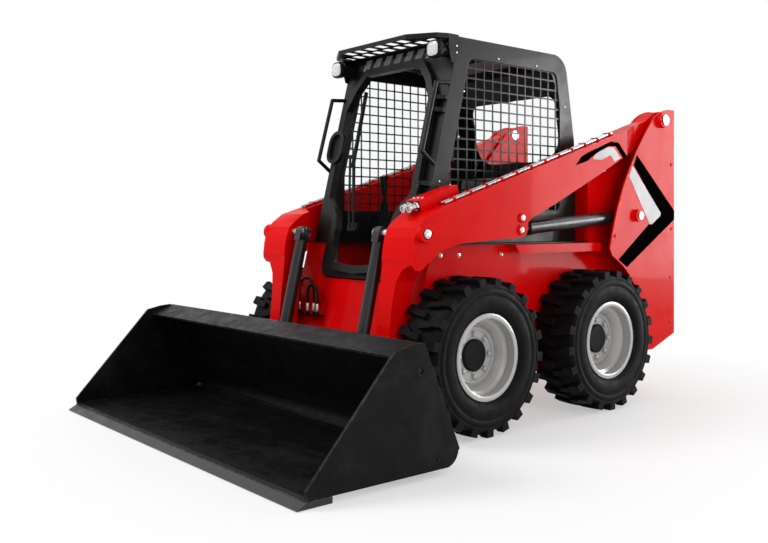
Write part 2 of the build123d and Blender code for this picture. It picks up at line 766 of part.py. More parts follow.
# Visor over the door: a slotted plate with a rim along its front and chamfered corners, and side cheeks.
visor_reach_s = cab_front_s - 223.0
visor_front_x = 290.0
visor_corner_x = 430.0
visor_corner_s = cab_front_s - 133.0
visor_low_z = cab_top_z - 18.0
visor_wall = 4.0
visor_rim = 25.0  # height of the rim
visor_rim_wall = 6.0
slot_length = 74.0  # of a slot, front to back
slot_width = 60.0
slot_pitch = 90.0
slot_row_pitch = 92.0
cheek_low_z = cab_top_z - 140.0
with BuildPart() as visor:
    with BuildSketch(Plane.XY.offset(visor_low_z)) as visor_plan:
        with BuildLine():
            Polyline(
                (0, axle_y + visor_reach_s),
                (visor_front_x, axle_y + visor_reach_s),
                (visor_corner_x, axle_y + visor_corner_s),
                (cab_x, axle_y + visor_corner_s + 60),
                (cab_x, axle_y + cab_front_s + 40),
                (0, axle_y + cab_front_s + 40),
            )
            mirror(about=Plane.YZ)
        make_face()
    extrude(amount=visor_rim)
    with BuildSketch(Plane.XY.offset(visor_low_z + visor_wall)):
        with BuildLine():
            Polyline(
                (0, axle_y + visor_reach_s + visor_rim_wall),
                (visor_front_x - 2, axle_y + visor_reach_s + visor_rim_wall),
                (visor_corner_x - 4, axle_y + visor_corner_s + visor_rim_wall),
                (cab_x - visor_rim_wall, axle_y + visor_corner_s + 60),
                (cab_x - visor_rim_wall, axle_y + cab_front_s + 41),
                (0, axle_y + cab_front_s + 41),
            )
            mirror(about=Plane.YZ)
        make_face()
    extrude(amount=visor_rim, mode=Mode.SUBTRACT)
    # two staggered rows of slots
    with BuildSketch(Plane.XY.offset(visor_low_z - 1)):
        with Locations((0, axle_y + visor_reach_s + 40)):
            with GridLocations(slot_pitch, 1, 6, 1):
                RectangleRounded(slot_width, slot_length, 8)
        with Locations((0, axle_y + visor_reach_s + 40 + slot_row_pitch)):
            with GridLocations(slot_pitch, 1, 9, 1):
                RectangleRounded(slot_width, slot_length, 8)
    extrude(amount=visor_wall + 2, mode=Mode.SUBTRACT)
    for hand in (1, -1):
        cheek_low, cheek_high = sorted((hand * (cab_x - visor_rim_wall), hand * cab_x))
        with BuildSketch(side(cheek_low)):
            with BuildLine():
                Polyline(
                    (cab_front_s - 1, visor_low_z + 1),
                    (visor_corner_s + 62, visor_low_z + 1),
                    (visor_corner_s + 62, visor_low_z - 50),
                    (cab_front(cheek_low_z) - 14, cheek_low_z),
                    (cab_front(cheek_low_z) + 10, cheek_low_z),
                    close=True,
                )
            make_face()
        extrude(amount=visor_rim_wall)
    # the cab's own front face bounds the visor at the back
    with BuildSketch(side(-cab_x - 1)):
        with BuildLine():
            Polyline(
                (cab_front(visor_low_z - 190) - seat_gap * slope_length, visor_low_z - 190),
                (cab_front(visor_low_z + 110) - seat_gap * slope_length, visor_low_z + 110),
                (cab_front_s + 300, visor_low_z + 110),
                (cab_front_s + 300, visor_low_z - 190),
                close=True,
            )
        make_face()
    extrude(amount=2 * cab_x + 2, mode=Mode.SUBTRACT)
visor.part.label = "visor"
export_step(visor.part, "parts/visor.step")

# Headlamps: a rounded square lens housing on a round stem that stands on the cab's front face.
lamp_x = 412.0
lamp_s = cab_front_s - 147.0
lamp_z = cab_top_z - 76.0
lamp_wide = 98.0
lamp_tall = 92.0
lamp_depth = 36.0
lamp_stem_r = 34.0
with BuildPart() as headlamps:
    for hand in (1, -1):
        lamp_plane = Plane(origin=(hand * lamp_x, axle_y + lamp_s, lamp_z), x_dir=(-1, 0, 0), z_dir=(0, 1, 0))
        with BuildSketch(lamp_plane):
            RectangleRounded(lamp_wide, lamp_tall, 34)
        extrude(amount=lamp_depth)
        with BuildSketch(lamp_plane.offset(lamp_depth - 1)):
            Circle(lamp_stem_r)
        extrude(amount=200)
    with BuildSketch(side(-cab_x - 60)):
        with BuildLine():
            Polyline(
                (cab_front(lamp_z - 230) - seat_gap * slope_length, lamp_z - 230),
                (cab_front(lamp_z + 230) - seat_gap * slope_length, lamp_z + 230),
                (cab_front_s + 400, lamp_z + 230),
                (cab_front_s + 400, lamp_z - 230),
                close=True,
            )
        make_face()
    extrude(amount=2 * cab_x + 120, mode=Mode.SUBTRACT)
headlamps.part.label = "headlamps"
export_step(headlamps.part, "parts/headlamps.step")

# Grab loops that stand on the cab's front face, one each side of the door.
loop_x = 445.0
loop_r = 11.0
loop_points = [
    (cab_front(cab_top_z - 245) + 20, cab_top_z - 245),
    (cab_front(cab_top_z - 253) - 89, cab_top_z - 253),
    (cab_front(cab_top_z - 611) - 97, cab_top_z - 611),
    (cab_front(cab_top_z - 685) + 20, cab_top_z - 685),
]
with BuildPart() as grab_loops:
    for hand in (1, -1):
        for (from_s, from_z), (to_s, to_z) in zip(loop_points, loop_points[1:]):
            start = Plane(
                origin=(hand * loop_x, axle_y + from_s, from_z), x_dir=(1, 0, 0), z_dir=(0, to_s - from_s, to_z - from_z)
            )
            with BuildSketch(start):
                Circle(loop_r)
            extrude(amount=math.dist((from_s, from_z), (to_s, to_z)))
        for bend_s, bend_z in loop_points[1:-1]:
            with Locations((hand * loop_x, axle_y + bend_s, bend_z)):
                Sphere(loop_r)
    with BuildSketch(side(-cab_x - 60)):
        with BuildLine():
            Polyline(
                (cab_front(cab_top_z - 800) - seat_gap * slope_length, cab_top_z - 800),
                (cab_front(cab_top_z) - seat_gap * slope_length, cab_top_z),
                (cab_front_s + 400, cab_top_z),
                (cab_front_s + 400, cab_top_z - 800),
                close=True,
            )
        make_face()
    extrude(amount=2 * cab_x + 120, mode=Mode.SUBTRACT)
grab_loops.part.label = "grab_loops"
export_step(grab_loops.part, "parts/grab_loops.step")

# Side screens of square mesh, held inside the side windows' edges.
mesh_pitch_s = 66.0
mesh_pitch_z = 54.0
mesh_bar = 8.0
screen_wall = 4.0
screen_edge = 22.0  # how far the screen's band reaches past the window
mesh_middle_s = 530.0
with BuildPart() as side_screens:
    for hand in (1, -1):
        screen_low, screen_high = sorted(
            (hand * (cab_x - cab_wall - seat_gap - screen_wall), hand * (cab_x - cab_wall - seat_gap))
        )
        with BuildSketch(side(screen_low)):
            with BuildLine():
                Polyline(
                    (cab_front(window_low_z) + window_front_s - screen_edge, window_low_z - screen_edge),
                    (cab_front(window_top_z) + window_front_s - screen_edge, window_top_z + screen_edge),
                    (window_back_s - 40, window_top_z + screen_edge),
                    (window_back_s + screen_edge, window_top_z - 110),
                    (window_back_s + 8 + screen_edge, window_top_z - 205),
                    (window_back_s + 8 + screen_edge, window_low_z - screen_edge),
                    close=True,
                )
            make_face()
        extrude(amount=screen_wall)
        with BuildSketch(side(screen_low - 1)) as mesh_cells:
            with Locations((mesh_middle_s, (window_low_z + window_top_z) / 2)):
                with GridLocations(mesh_pitch_s, mesh_pitch_z, 14, 15):
                    Rectangle(mesh_pitch_s - mesh_bar, mesh_pitch_z - mesh_bar)
            with BuildLine():
                Polyline(
                    (cab_front(window_low_z) + window_front_s + 4, window_low_z + 4),
                    (cab_front(window_top_z) + window_front_s + 4, window_top_z - 4),
                    (window_back_s - 60, window_top_z - 4),
                    (window_back_s - 4, window_top_z - 110),
                    (window_back_s + 4, window_top_z - 205),
                    (window_back_s + 4, window_low_z + 4),
                    close=True,
                )
            make_face(mode=Mode.INTERSECT)
        extrude(amount=screen_wall + 2, mode=Mode.SUBTRACT)
side_screens.part.label = "side_screens"
export_step(side_screens.part, "parts/side_screens.step")

# Rear window pane in its opening.
with BuildPart() as rear_window:
    with BuildSketch(Plane.XZ.offset(-(axle_y + cab_back_top_s - 6))):
        with Locations((0, (rear_window_low_z + rear_window_top_z) / 2)):
            RectangleRounded(
                2 * rear_window_x - 2 * seat_gap,
                rear_window_top_z - rear_window_low_z - 2 * seat_gap,
                60 - seat_gap,
            )
    extrude(amount=-200)
    with BuildSketch(side(-rear_window_x)):
        with BuildLine():
            Polyline(
                (cab_back_s - 5, cab_hip_z),
                (cab_waist_s - 5, cab_waist_z),
                (cab_back_top_s - 5, cab_top_z),
                (cab_back_top_s - 1, cab_top_z),
                (cab_waist_s - 1, cab_waist_z),
                (cab_back_s - 1, cab_hip_z),
                close=True,
            )
        make_face()
    extrude(amount=2 * rear_window_x, mode=Mode.INTERSECT)
rear_window.part.label = "rear_window"
export_step(rear_window.part, "parts/rear_window.step")

# Cab floor on the chain cases, seat and hand controls on the floor.
floor_z = chaincase_top_z + seat_gap
floor_wall = 10.0
floor_front_s = cab_front(chaincase_top_z) + panel_set_back + 2 * tub_wall + clear
seat_z = floor_z + floor_wall + seat_gap
seat_top_z = 935.0
seat_base_tall = 110.0  # from the cushion's top down to the box it stands on
seat_back_top_z = 1325.0
seat_half = 235.0
seat_front_s = 400.0
seat_back_s = 880.0
with BuildPart() as cab_floor:
    with BuildSketch(side(-(tub_x - tub_wall - seat_gap))):
        with BuildLine():
            Polyline(
                (floor_front_s, floor_z),
                (floor_front_s, floor_z + floor_wall),
                (cab_back_s - floor_wall, floor_z + floor_wall),
                (cab_back_s - floor_wall, cab_base_z - clear),
                (cab_back_s, cab_base_z - clear),
                (cab_back_s, floor_z),
                close=True,
            )
        make_face()
    extrude(amount=2 * (tub_x - tub_wall - seat_gap))
    # the box under the seat
    with BuildSketch(side(-seat_half + 30)):
        with BuildLine():
            Polyline(
                (seat_front_s + 60, floor_z + 1),
                (seat_front_s + 40, seat_top_z - seat_base_tall),
                (seat_back_s - 40, seat_top_z - seat_base_tall),
                (seat_back_s - 40, floor_z + 1),
                close=True,
            )
        make_face()
    extrude(amount=2 * seat_half - 60)
cab_floor.part.label = "cab_floor"
export_step(cab_floor.part, "parts/cab_floor.step")

with BuildPart() as seat:
    with BuildSketch(side(-seat_half)) as seat_side:
        with BuildLine():
            Polyline(
                (seat_front_s, seat_top_z - seat_base_tall + seat_gap),
                (seat_front_s - 10, seat_top_z - 20),
                (seat_front_s + 40, seat_top_z),
                (seat_back_s - 120, seat_top_z - 25),
                (seat_back_s - 70, seat_back_top_z),
                (seat_back_s + 20, seat_back_top_z - 8),
                (seat_back_s, seat_top_z - seat_base_tall + seat_gap),
                close=True,
            )
        make_face()
        fillet(seat_side.vertices().sort_by(Axis.Y)[-2:], 30)
    extrude(amount=2 * seat_half)
seat.part.label = "seat"
export_step(seat.part, "parts/seat.step")

console_x = 262.0
console_s = 225.0
console_top_z = 1075.0
stick_top_z = 1312.0
with BuildPart() as controls:
    for hand in (1, -1):
        with BuildSketch(Plane.XY.offset(seat_z)):
            with Locations((hand * console_x, axle_y + console_s + 20)):
                Rectangle(76, 190)
        extrude(amount=console_top_z - seat_z)
        # bellows, lever and knob of the joystick
        with BuildSketch(Plane.XY.offset(console_top_z - 1)):
            with Locations((hand * console_x, axle_y + console_s)):
                Circle(36)
        extrude(amount=100, taper=12)
        with BuildSketch(Plane.XY.offset(console_top_z + 90)):
            with Locations((hand * console_x, axle_y + console_s)):
                Circle(9)
        extrude(amount=60)
        with BuildSketch(Plane.XY.offset(stick_top_z - 110)):
            with Locations((hand * console_x, axle_y + console_s)):
                Circle(17)
        extrude(amount=110, taper=-4)
controls.part.label = "controls"
export_step(controls.part, "parts/controls.step")

# ================================================================== front door
door_back_gap = 8.0  # the door's back face ahead of the cab's front face
door_wall = 30.0
door_band = 43.0  # width of the frame round the pane
pane_wall = 6.0
door_hinge_x = door_half + 8.0
door_hinge_r = 7.5
door_hinge_pin_r = 4.0
door_hinge_z = (1200.0, door_top_z - 262.0)
door_hinge_tall = 44.0
door_strap = 40.0  # how far a hinge's strap reaches over the frame
latch_x = -355.0
latch_z = 1459.0
latch_wide = 138.0
latch_tall = 196.0
door_front = door_back_gap + door_wall  # front face ahead of the cab's front face


def door_sketch(start, *insets):
    """Face of the door's outline after the insets, on the plane that lies start ahead of the cab's front face."""
    with BuildSketch(front_face.offset(start)) as outline:
        with BuildLine():
            Polyline(*[(across, up(z)) for across, z in door_points])
            mirror(about=Plane.YZ)
        make_face()
        for inset in insets:
            offset(amount=-inset, kind=Kind.INTERSECTION)
    return outline.sketch


with BuildPart() as door_frame:
    add(door_sketch(door_back_gap))
    extrude(amount=door_wall, dir=front_face.z_dir)
    # housing of the latch on the far edge, with a recess for the fingers
    with BuildSketch(front_face.offset(door_back_gap + 4)):
        with Locations((latch_x, up(latch_z))):
            RectangleRounded(latch_wide, latch_tall, latch_wide / 2 - 1)
    extrude(amount=door_wall + 22)
    with BuildSketch(front_face.offset(door_front + 6)):
        with Locations((latch_x, up(latch_z))):
            RectangleRounded(latch_wide - 44, latch_tall - 44, latch_wide / 2 - 23)
    extrude(amount=40, mode=Mode.SUBTRACT)
    add(door_sketch(door_back_gap - 1, door_band))
    extrude(amount=door_wall + 2, dir=front_face.z_dir, mode=Mode.SUBTRACT)
    # hinge barrels with the straps that join them to the door's edge
    for hinge_at in door_hinge_z:
        with BuildSketch(front_face.offset(door_front - door_hinge_r)):
            with Locations((door_hinge_x - door_strap / 2, up(hinge_at))):
                Rectangle(door_strap, door_hinge_tall)
        extrude(amount=door_hinge_r)
        axis_foot = front_face.offset(door_front).origin + front_face.y_dir * (up(hinge_at) - door_hinge_tall / 2)
        hinge_plane = Plane(
            origin=(door_hinge_x, axis_foot.Y, axis_foot.Z), x_dir=(1, 0, 0), z_dir=tuple(front_face.y_dir)
        )
        with BuildSketch(hinge_plane):
            Circle(door_hinge_r)
        extrude(amount=door_hinge_tall)
        with BuildSketch(hinge_plane.offset(-1)):
            Circle(door_hinge_pin_r + 4 * pin_fit)
        extrude(amount=door_hinge_tall + 2, mode=Mode.SUBTRACT)
door_frame.part.label = "door_frame"
export_step(door_frame.part, "parts/door_frame.step")

with BuildPart() as door_hinges:
    for hinge_at in door_hinge_z:
        axis_foot = front_face.offset(door_front).origin + front_face.y_dir * (up(hinge_at) - door_hinge_tall / 2)
        hinge_plane = Plane(
            origin=(door_hinge_x, axis_foot.Y, axis_foot.Z), x_dir=(1, 0, 0), z_dir=tuple(front_face.y_dir)
        )
        for start in (-23.0, door_hinge_tall + 1.0):
            with BuildSketch(hinge_plane.offset(start)):
                Circle(door_hinge_r)
            extrude(amount=22)
            with BuildSketch(hinge_plane.offset(start)):
                with BuildLine():
                    Polyline(
                        (0, 7),
                        (0, door_front - seat_gap),
                        (cab_x - door_hinge_x, door_front - seat_gap),
                        (cab_x - door_hinge_x, door_front - 12),
                        (8, 4),
                        (0, 2),
                        close=True,
                    )
                make_face()
            extrude(amount=22)
        with BuildSketch(hinge_plane.offset(-3)):
            Circle(door_hinge_pin_r)
        extrude(amount=door_hinge_tall + 6)
door_hinges.part.label = "door_hinges"
export_step(door_hinges.part, "parts/door_hinges.step")

with BuildPart() as door_glass:
    add(door_sketch(door_front - 2 * pane_wall, door_band, seat_gap))
    extrude(amount=pane_wall, dir=front_face.z_dir)
door_glass.part.label = "door_glass"
export_step(door_glass.part, "parts/door_glass.step")

# Wiper: a pivot housing on the pane, twin arms and the blade.
pane_front = door_front - pane_wall
wiper_low_z = 1005.0
wiper_top_z = 1395.0
with BuildPart() as wiper:
    with BuildSketch(front_face.offset(pane_front + seat_gap)):
        with Locations((-70, up(wiper_low_z))):
            RectangleRounded(86, 46, 16)
    extrude(amount=16)
    with BuildSketch(front_face.offset(pane_front + 14)):
        with BuildLine():
            Polyline(
                (-98, up(wiper_low_z)),
                (-214, up(wiper_top_z)),
                (-202, up(wiper_top_z)),
                (-86, up(wiper_low_z)),
                close=True,
            )
        make_face()
        with BuildLine():
            Polyline(
                (-58, up(wiper_low_z)),
                (-176, up(wiper_top_z + 5)),
                (-164, up(wiper_top_z + 5)),
                (-46, up(wiper_low_z)),
                close=True,
            )
        make_face()
        with BuildLine():
            Polyline(
                (-222, up(wiper_top_z - 6)),
                (-222, up(wiper_top_z + 12)),
                (-156, up(wiper_top_z + 12)),
                (-156, up(wiper_top_z - 6)),
                close=True,
            )
        make_face()
    extrude(amount=8)
    with BuildSketch(front_face.offset(pane_front + 1)):
        with BuildLine():
            Polyline(
                (-184, up(1335)),
                (-196, up(1770)),
                (-182, up(1770)),
                (-170, up(1335)),
                close=True,
            )
        make_face()
    extrude(amount=18)
wiper.part.label = "wiper"
export_step(wiper.part, "parts/wiper.step")

# ================================================================== lift arms
# The left arm is made and mirrored. Its side outline is cut to its outline from above, and so is its hollow.
arm_rise = 0.317  # slope of the arm's straight upper edge
arm_edge_z = 1247.0
arm_edge_s = 265.0
arm_wall_cut = 10.0
pivot_boss_r = 48.0
knuckle_in_s = -200.0  # the knuckle's full width ends here
beam_in_s = -145.0
tilt_boss_r = 44.0
tilt_boss_out = 23.0
tilt_pin_out = 37.0
tilt_pin_r = 22.0
lug_open_front_s = 150.0  # the beam's open underside round the lift cylinder's eye
lug_open_back_s = 600.0


def arm_top(s):
    """Height of the arm's straight upper edge at station s."""
    return arm_edge_z + arm_rise * (s - arm_edge_s)


arm_front = [
    (-237.0, arm_top(-237.0)),
    (-299.0, 1044.0),
    (-331.0, 1014.0),
    (-351.0, 966.0),
    (-361.0, 921.0),
    (-368.0, 862.0),
    (-366.0, 835.0),
    (-346.0, 812.0),
    (-318.0, 806.0),
    (-295.0, 818.0),
    (-249.0, 856.0),
    (-208.0, 879.0),
    (-144.0, 908.0),
    (-79.0, 928.0),
    (-42.0, 934.0),
    (182.0, 949.0),
    (393.0, 959.0),
    (440.0, 970.0),
    (454.0, 1000.0),
    (456.0, 1040.0),
    (496.0, 1068.0),
    (556.0, 1088.0),
    (973.0, 1269.0),
    (1216.0, 1381.0),
    (1342.0, 1441.0),
    (1439.0, 1475.0),
]
arm_back = (
    pivot_s + pivot_boss_r * math.cos(math.radians(-60)),
    pivot_z + pivot_boss_r * math.sin(math.radians(-60)),
)
arm_back_top = (
    pivot_s + pivot_boss_r * math.cos(math.radians(115)),
    pivot_z + pivot_boss_r * math.sin(math.radians(115)),
)


def arm_plan(inset):
    """The arm from above: full width over the knuckle, then narrowed to the beam and again inside the tower."""
    return [
        (leg_inner_x + inset, axle_y - 420),
        (arm_x - inset, axle_y - 420),
        (arm_x - inset, axle_y + 1340),
        (arm_rear_x - inset, axle_y + 1440),
        (arm_rear_x - inset, axle_y + 1740),
        (arm_inner_x + inset, axle_y + 1740),
        (arm_inner_x + inset, axle_y + beam_in_s - inset / 2),
        (leg_inner_x + inset, axle_y + knuckle_in_s - inset / 2),
    ]


with BuildPart() as arm_beam:
    with BuildSketch(side(leg_inner_x)):
        with BuildLine():
            Polyline(*arm_front, arm_back)
            ThreePointArc(arm_back, (pivot_s + pivot_boss_r, pivot_z), arm_back_top)
            Polyline(arm_back_top, (pivot_s - 105, arm_top(pivot_s - 105)), arm_front[0])
        make_face()
    extrude(amount=arm_x - leg_inner_x)
    with BuildSketch(Plane.XY.offset(700)):
        with BuildLine():
            Polyline(*arm_plan(0), close=True)
        make_face()
    extrude(amount=1200, mode=Mode.INTERSECT)

with BuildPart() as arm_hollow:
    with BuildSketch(side(leg_inner_x)):
        with BuildLine():
            Polyline(*arm_front, (pivot_s - 95, pivot_z - 121), (pivot_s - 105, arm_top(pivot_s - 105)), close=True)
        make_face()
        offset(amount=-arm_wall_cut, kind=Kind.INTERSECTION)
    extrude(amount=arm_x - leg_inner_x)
    with BuildSketch(Plane.XY.offset(700)):
        with BuildLine():
            Polyline(*arm_plan(arm_wall_cut), close=True)
        make_face()
    extrude(amount=1200, mode=Mode.INTERSECT)

leg_turn_z = 300.0  # below this the leg runs into the bucket hinge's eye
leg_joint_z = 690.0  # above this the leg widens into the knuckle and is one piece with it
with BuildPart() as arm_leg:
    with BuildSketch(side(leg_inner_x)):
        with BuildLine():
            Polyline(
                (hinge_s - hinge_eye_r, hinge_z),
                (leg_front(leg_turn_z), leg_turn_z),
                (leg_front(880), 880),
                (leg_front(880) + leg_depth, 880),
                (leg_front(leg_turn_z) + leg_depth, leg_turn_z),
                (hinge_s + hinge_eye_r, hinge_z),
            )
            ThreePointArc(
                (hinge_s + hinge_eye_r, hinge_z), (hinge_s, hinge_z - hinge_eye_r), (hinge_s - hinge_eye_r, hinge_z)
            )
        make_face()
    extrude(amount=arm_x - leg_inner_x)
    with BuildSketch(Plane.XZ.offset(-axle_y + 500)):
        with BuildLine():
            Polyline(
                (leg_inner_x, 60),
                (leg_outer_x, 60),
                (leg_outer_x, 600),
                (leg_outer_x + 6, 683),
                (leg_outer_x + 17, 752),
                (leg_outer_x + 54, 811),
                (arm_x, 846),
                (arm_x, 960),
                (leg_inner_x, 960),
                close=True,
            )
        make_face()
    extrude(amount=-500, mode=Mode.INTERSECT)

with BuildPart() as arm_left:
    add(arm_beam.part)
    add(arm_hollow.part, mode=Mode.SUBTRACT)
    add(arm_leg.part)
    # the underside round the lift cylinder's eye stays open between the side plates
    with BuildSketch(side(arm_inner_x + arm_wall_cut)):
        with BuildLine():
            Polyline(
                (lug_open_front_s, 900),
                (lug_open_front_s, 1010),
                (lug_open_back_s, 1150),
                (lug_open_back_s, 900),
                close=True,
            )
        make_face()
    extrude(amount=arm_x - arm_inner_x - 2 * arm_wall_cut, mode=Mode.SUBTRACT)
    # boss for the tilt cylinder's upper pin
    with BuildSketch(side(arm_x - 1)):
        with Locations((tilt_top_s, tilt_top_z)):
            Circle(tilt_boss_r)
    extrude(amount=tilt_boss_out + 1)
    for bore_s, bore_z, bore_r in (
        (pivot_s, pivot_z, pivot_pin_r + pin_fit),
        (tilt_top_s, tilt_top_z, tilt_pin_r + seat_gap),
    ):
        with BuildSketch(side(leg_inner_x - 1)):
            with Locations((bore_s, bore_z)):
                Circle(bore_r)
        extrude(amount=arm_x + tilt_boss_out - leg_inner_x + 2, mode=Mode.SUBTRACT)
    # the straight leg below the knuckle is a piece of its own
    with BuildSketch(Plane.XY.offset(leg_joint_z)):
        with Locations((0, axle_y + hinge_s)):
            Rectangle(2 * arm_x + 20, 800)
    extrude(amount=-leg_joint_z, mode=Mode.SUBTRACT)
arm_left.part.label = "arm_left"
export_step(arm_left.part, "parts/arm_left.step")

with BuildPart() as arm_right:
    mirror(arm_left.part, about=Plane.YZ)
arm_right.part.label = "arm_right"
export_step(arm_right.part, "parts/arm_right.step")

with BuildPart() as leg_left:
    add(arm_leg.part)
    with BuildSketch(Plane.XY.offset(leg_joint_z - seat_gap)):
        with Locations((0, axle_y + hinge_s)):
            Rectangle(2 * arm_x + 20, 800)
    extrude(amount=leg_joint_z, mode=Mode.SUBTRACT)
    with BuildSketch(side(leg_inner_x - 1)):
        with Locations((hinge_s, hinge_z)):
            Circle(hinge_pin_r + pin_fit)
    extrude(amount=arm_x + tilt_boss_out - leg_inner_x + 2, mode=Mode.SUBTRACT)
leg_left.part.label = "leg_left"
export_step(leg_left.part, "parts/leg_left.step")

with BuildPart() as leg_right:
    mirror(leg_left.part, about=Plane.YZ)
leg_right.part.label = "leg_right"
export_step(leg_right.part, "parts/leg_right.step")

# Tube across between the legs.
cross_s = -312.0
cross_z = 380.0
cross_r = 38.0
with BuildPart() as cross_tube:
    with BuildSketch(side(-leg_inner_x + seat_gap)):
        with Locations((cross_s, cross_z)):
            Circle(cross_r)
    extrude(amount=2 * (leg_inner_x - seat_gap))
cross_tube.part.label = "cross_tube"
export_step(cross_tube.part, "parts/cross_tube.step")

# Upper pins of the tilt cylinders, through the knuckles.
tilt_pin_head = 8.0
tilt_pin_in = tilt_x - eye_half - 1 - tilt_pin_head
with BuildPart() as tilt_pins:
    for hand in (1, -1):
        facing = Plane(origin=(0, axle_y + tilt_top_s, tilt_top_z), x_dir=(0, 1, 0), z_dir=(hand, 0, 0))
        with BuildSketch(facing.offset(tilt_pin_in)):
            Circle(tilt_pin_r)
        extrude(amount=arm_x + tilt_pin_out - tilt_pin_in)
        with BuildSketch(facing.offset(tilt_pin_in)):
            Circle(tilt_pin_r + 8)
        extrude(amount=tilt_pin_head)
tilt_pins.part.label = "tilt_pins"
export_step(tilt_pins.part, "parts/tilt_pins.step")

# Folded bracket on the left knuckle with two couplers for an attachment's hoses.
arm_run = math.sqrt(1 + arm_rise**2)  # along the upper edge for each millimetre of station
bracket_low_x = 466.0
bracket_high_x = 566.0
bracket_front_s = -228.0
bracket_back_s = 30.0
bracket_tall = 58.0
bracket_wall = 5.0
coupler_r = 15.0
bracket_end = Plane(
    origin=(0, axle_y + bracket_front_s, arm_top(bracket_front_s)),
    x_dir=(1, 0, 0),
    z_dir=(0, 1, arm_rise),
)
coupler_up = 30.0  # coupler's axis above the arm's edge
coupler_spread = 46.0
coupler_hole_r = 12.3
coupler_plate_in = 12.0  # plate that holds the couplers, behind the bracket's front edge
coupler_out = 62.0  # nose ahead of that plate
coupler_middle_x = (bracket_low_x + bracket_high_x) / 2
coupler_places = (coupler_middle_x - coupler_spread / 2, coupler_middle_x + coupler_spread / 2)
with BuildPart() as coupler_bracket:
    with BuildSketch(bracket_end):
        with Locations((coupler_middle_x, -seat_gap - bracket_tall / 2)):
            Rectangle(bracket_high_x - bracket_low_x, bracket_tall)
        with Locations((coupler_middle_x, -seat_gap - bracket_tall / 2 + bracket_wall)):
            Rectangle(
                bracket_high_x - bracket_low_x - 2 * bracket_wall, bracket_tall, mode=Mode.SUBTRACT
            )
    extrude(amount=(bracket_back_s - bracket_front_s) * arm_run)
    with BuildSketch(bracket_end.offset(coupler_plate_in)):
        with Locations((coupler_middle_x, -seat_gap - bracket_tall / 2)):
            Rectangle(bracket_high_x - bracket_low_x - 2, bracket_tall)
        with Locations(*[(coupler_x, -coupler_up) for coupler_x in coupler_places]):
            Circle(coupler_hole_r, mode=Mode.SUBTRACT)
    extrude(amount=bracket_wall)
coupler_bracket.part.label = "coupler_bracket"
export_step(coupler_bracket.part, "parts/coupler_bracket.step")
coupler_neck_r = 12.0
coupler_neck = 12.0  # length of the neck behind the nose
hex_r = 20.0
hex_long = 14.0
nose_back = coupler_plate_in - seat_gap - hex_long - coupler_neck
with BuildPart() as couplers:
    for coupler_x in coupler_places:
        for start, length, round_r in (
            (coupler_plate_in - coupler_out, nose_back - coupler_plate_in + coupler_out, coupler_r),
            (nose_back - 1, coupler_out, coupler_neck_r),
        ):
            with BuildSketch(bracket_end.offset(start)):
                with Locations((coupler_x, -coupler_up)):
                    Circle(round_r)
            extrude(amount=length)
        for start, length in (
            (coupler_plate_in - seat_gap - hex_long, hex_long),
            (coupler_plate_in + bracket_wall + seat_gap, 60),
        ):
            with BuildSketch(bracket_end.offset(start)):
                with Locations((coupler_x, -coupler_up)):
                    RegularPolygon(hex_r, 6)
            extrude(amount=length)
couplers.part.label = "couplers"
export_step(couplers.part, "parts/couplers.step")

# Steel tubes along the upper edges of both arms.
pipe_r = 8.0
pipe_x = (588.0, 612.0)
pipe_front_s = -120.0
pipe_back_s = 1240.0
with BuildPart() as arm_pipes:
    for hand in (1, -1):
        for place_x in pipe_x:
            start = Plane(
                origin=(hand * place_x, axle_y + pipe_front_s, arm_top(pipe_front_s)),
                x_dir=(1, 0, 0),
                z_dir=(0, 1, arm_rise),
            )
            with BuildSketch(start):
                with Locations((0, -pipe_r - seat_gap)):
                    Circle(pipe_r)
            extrude(amount=(pipe_back_s - pipe_front_s) * arm_run)
arm_pipes.part.label = "arm_pipes"
export_step(arm_pipes.part, "parts/arm_pipes.step")

# Bracket behind the right leg with the risers that its hoses start from.
hose_shelf_z = 520.0
hose_shelf_wall = 6.0
hose_shelf_in_x = -232.0
hose_shelf_out_x = -472.0
hose_shelf_front_s = leg_front(hose_shelf_z) + leg_depth + seat_gap + 1
hose_shelf_back_s = hose_shelf_front_s + 40
riser_r = 12.0
riser_tall = 34.0
hose_r = 8.0
riser_places = ((-452.0, 29.0), (-312.0, 29.0), (-345.0, 9.5), (-251.0, 9.5))
with BuildPart() as hose_shelf:
    with BuildSketch(side(hose_shelf_out_x)):
        with BuildLine():
            Polyline(
                (hose_shelf_front_s, hose_shelf_z),
                (hose_shelf_front_s, hose_shelf_z + hose_shelf_wall),
                (hose_shelf_back_s, hose_shelf_z + hose_shelf_wall),
                (hose_shelf_back_s, hose_shelf_z),
                close=True,
            )
        make_face()
    extrude(amount=hose_shelf_in_x - hose_shelf_out_x)
    with BuildSketch(Plane.XY.offset(hose_shelf_z + hose_shelf_wall - 1)):
        for riser_x, riser_back in riser_places:
            with Locations((riser_x, axle_y + hose_shelf_front_s + riser_back)):
                Circle(riser_r - 3)
    extrude(amount=riser_tall)
hose_shelf.part.label = "hose_shelf"
export_step(hose_shelf.part, "parts/hose_shelf.step")

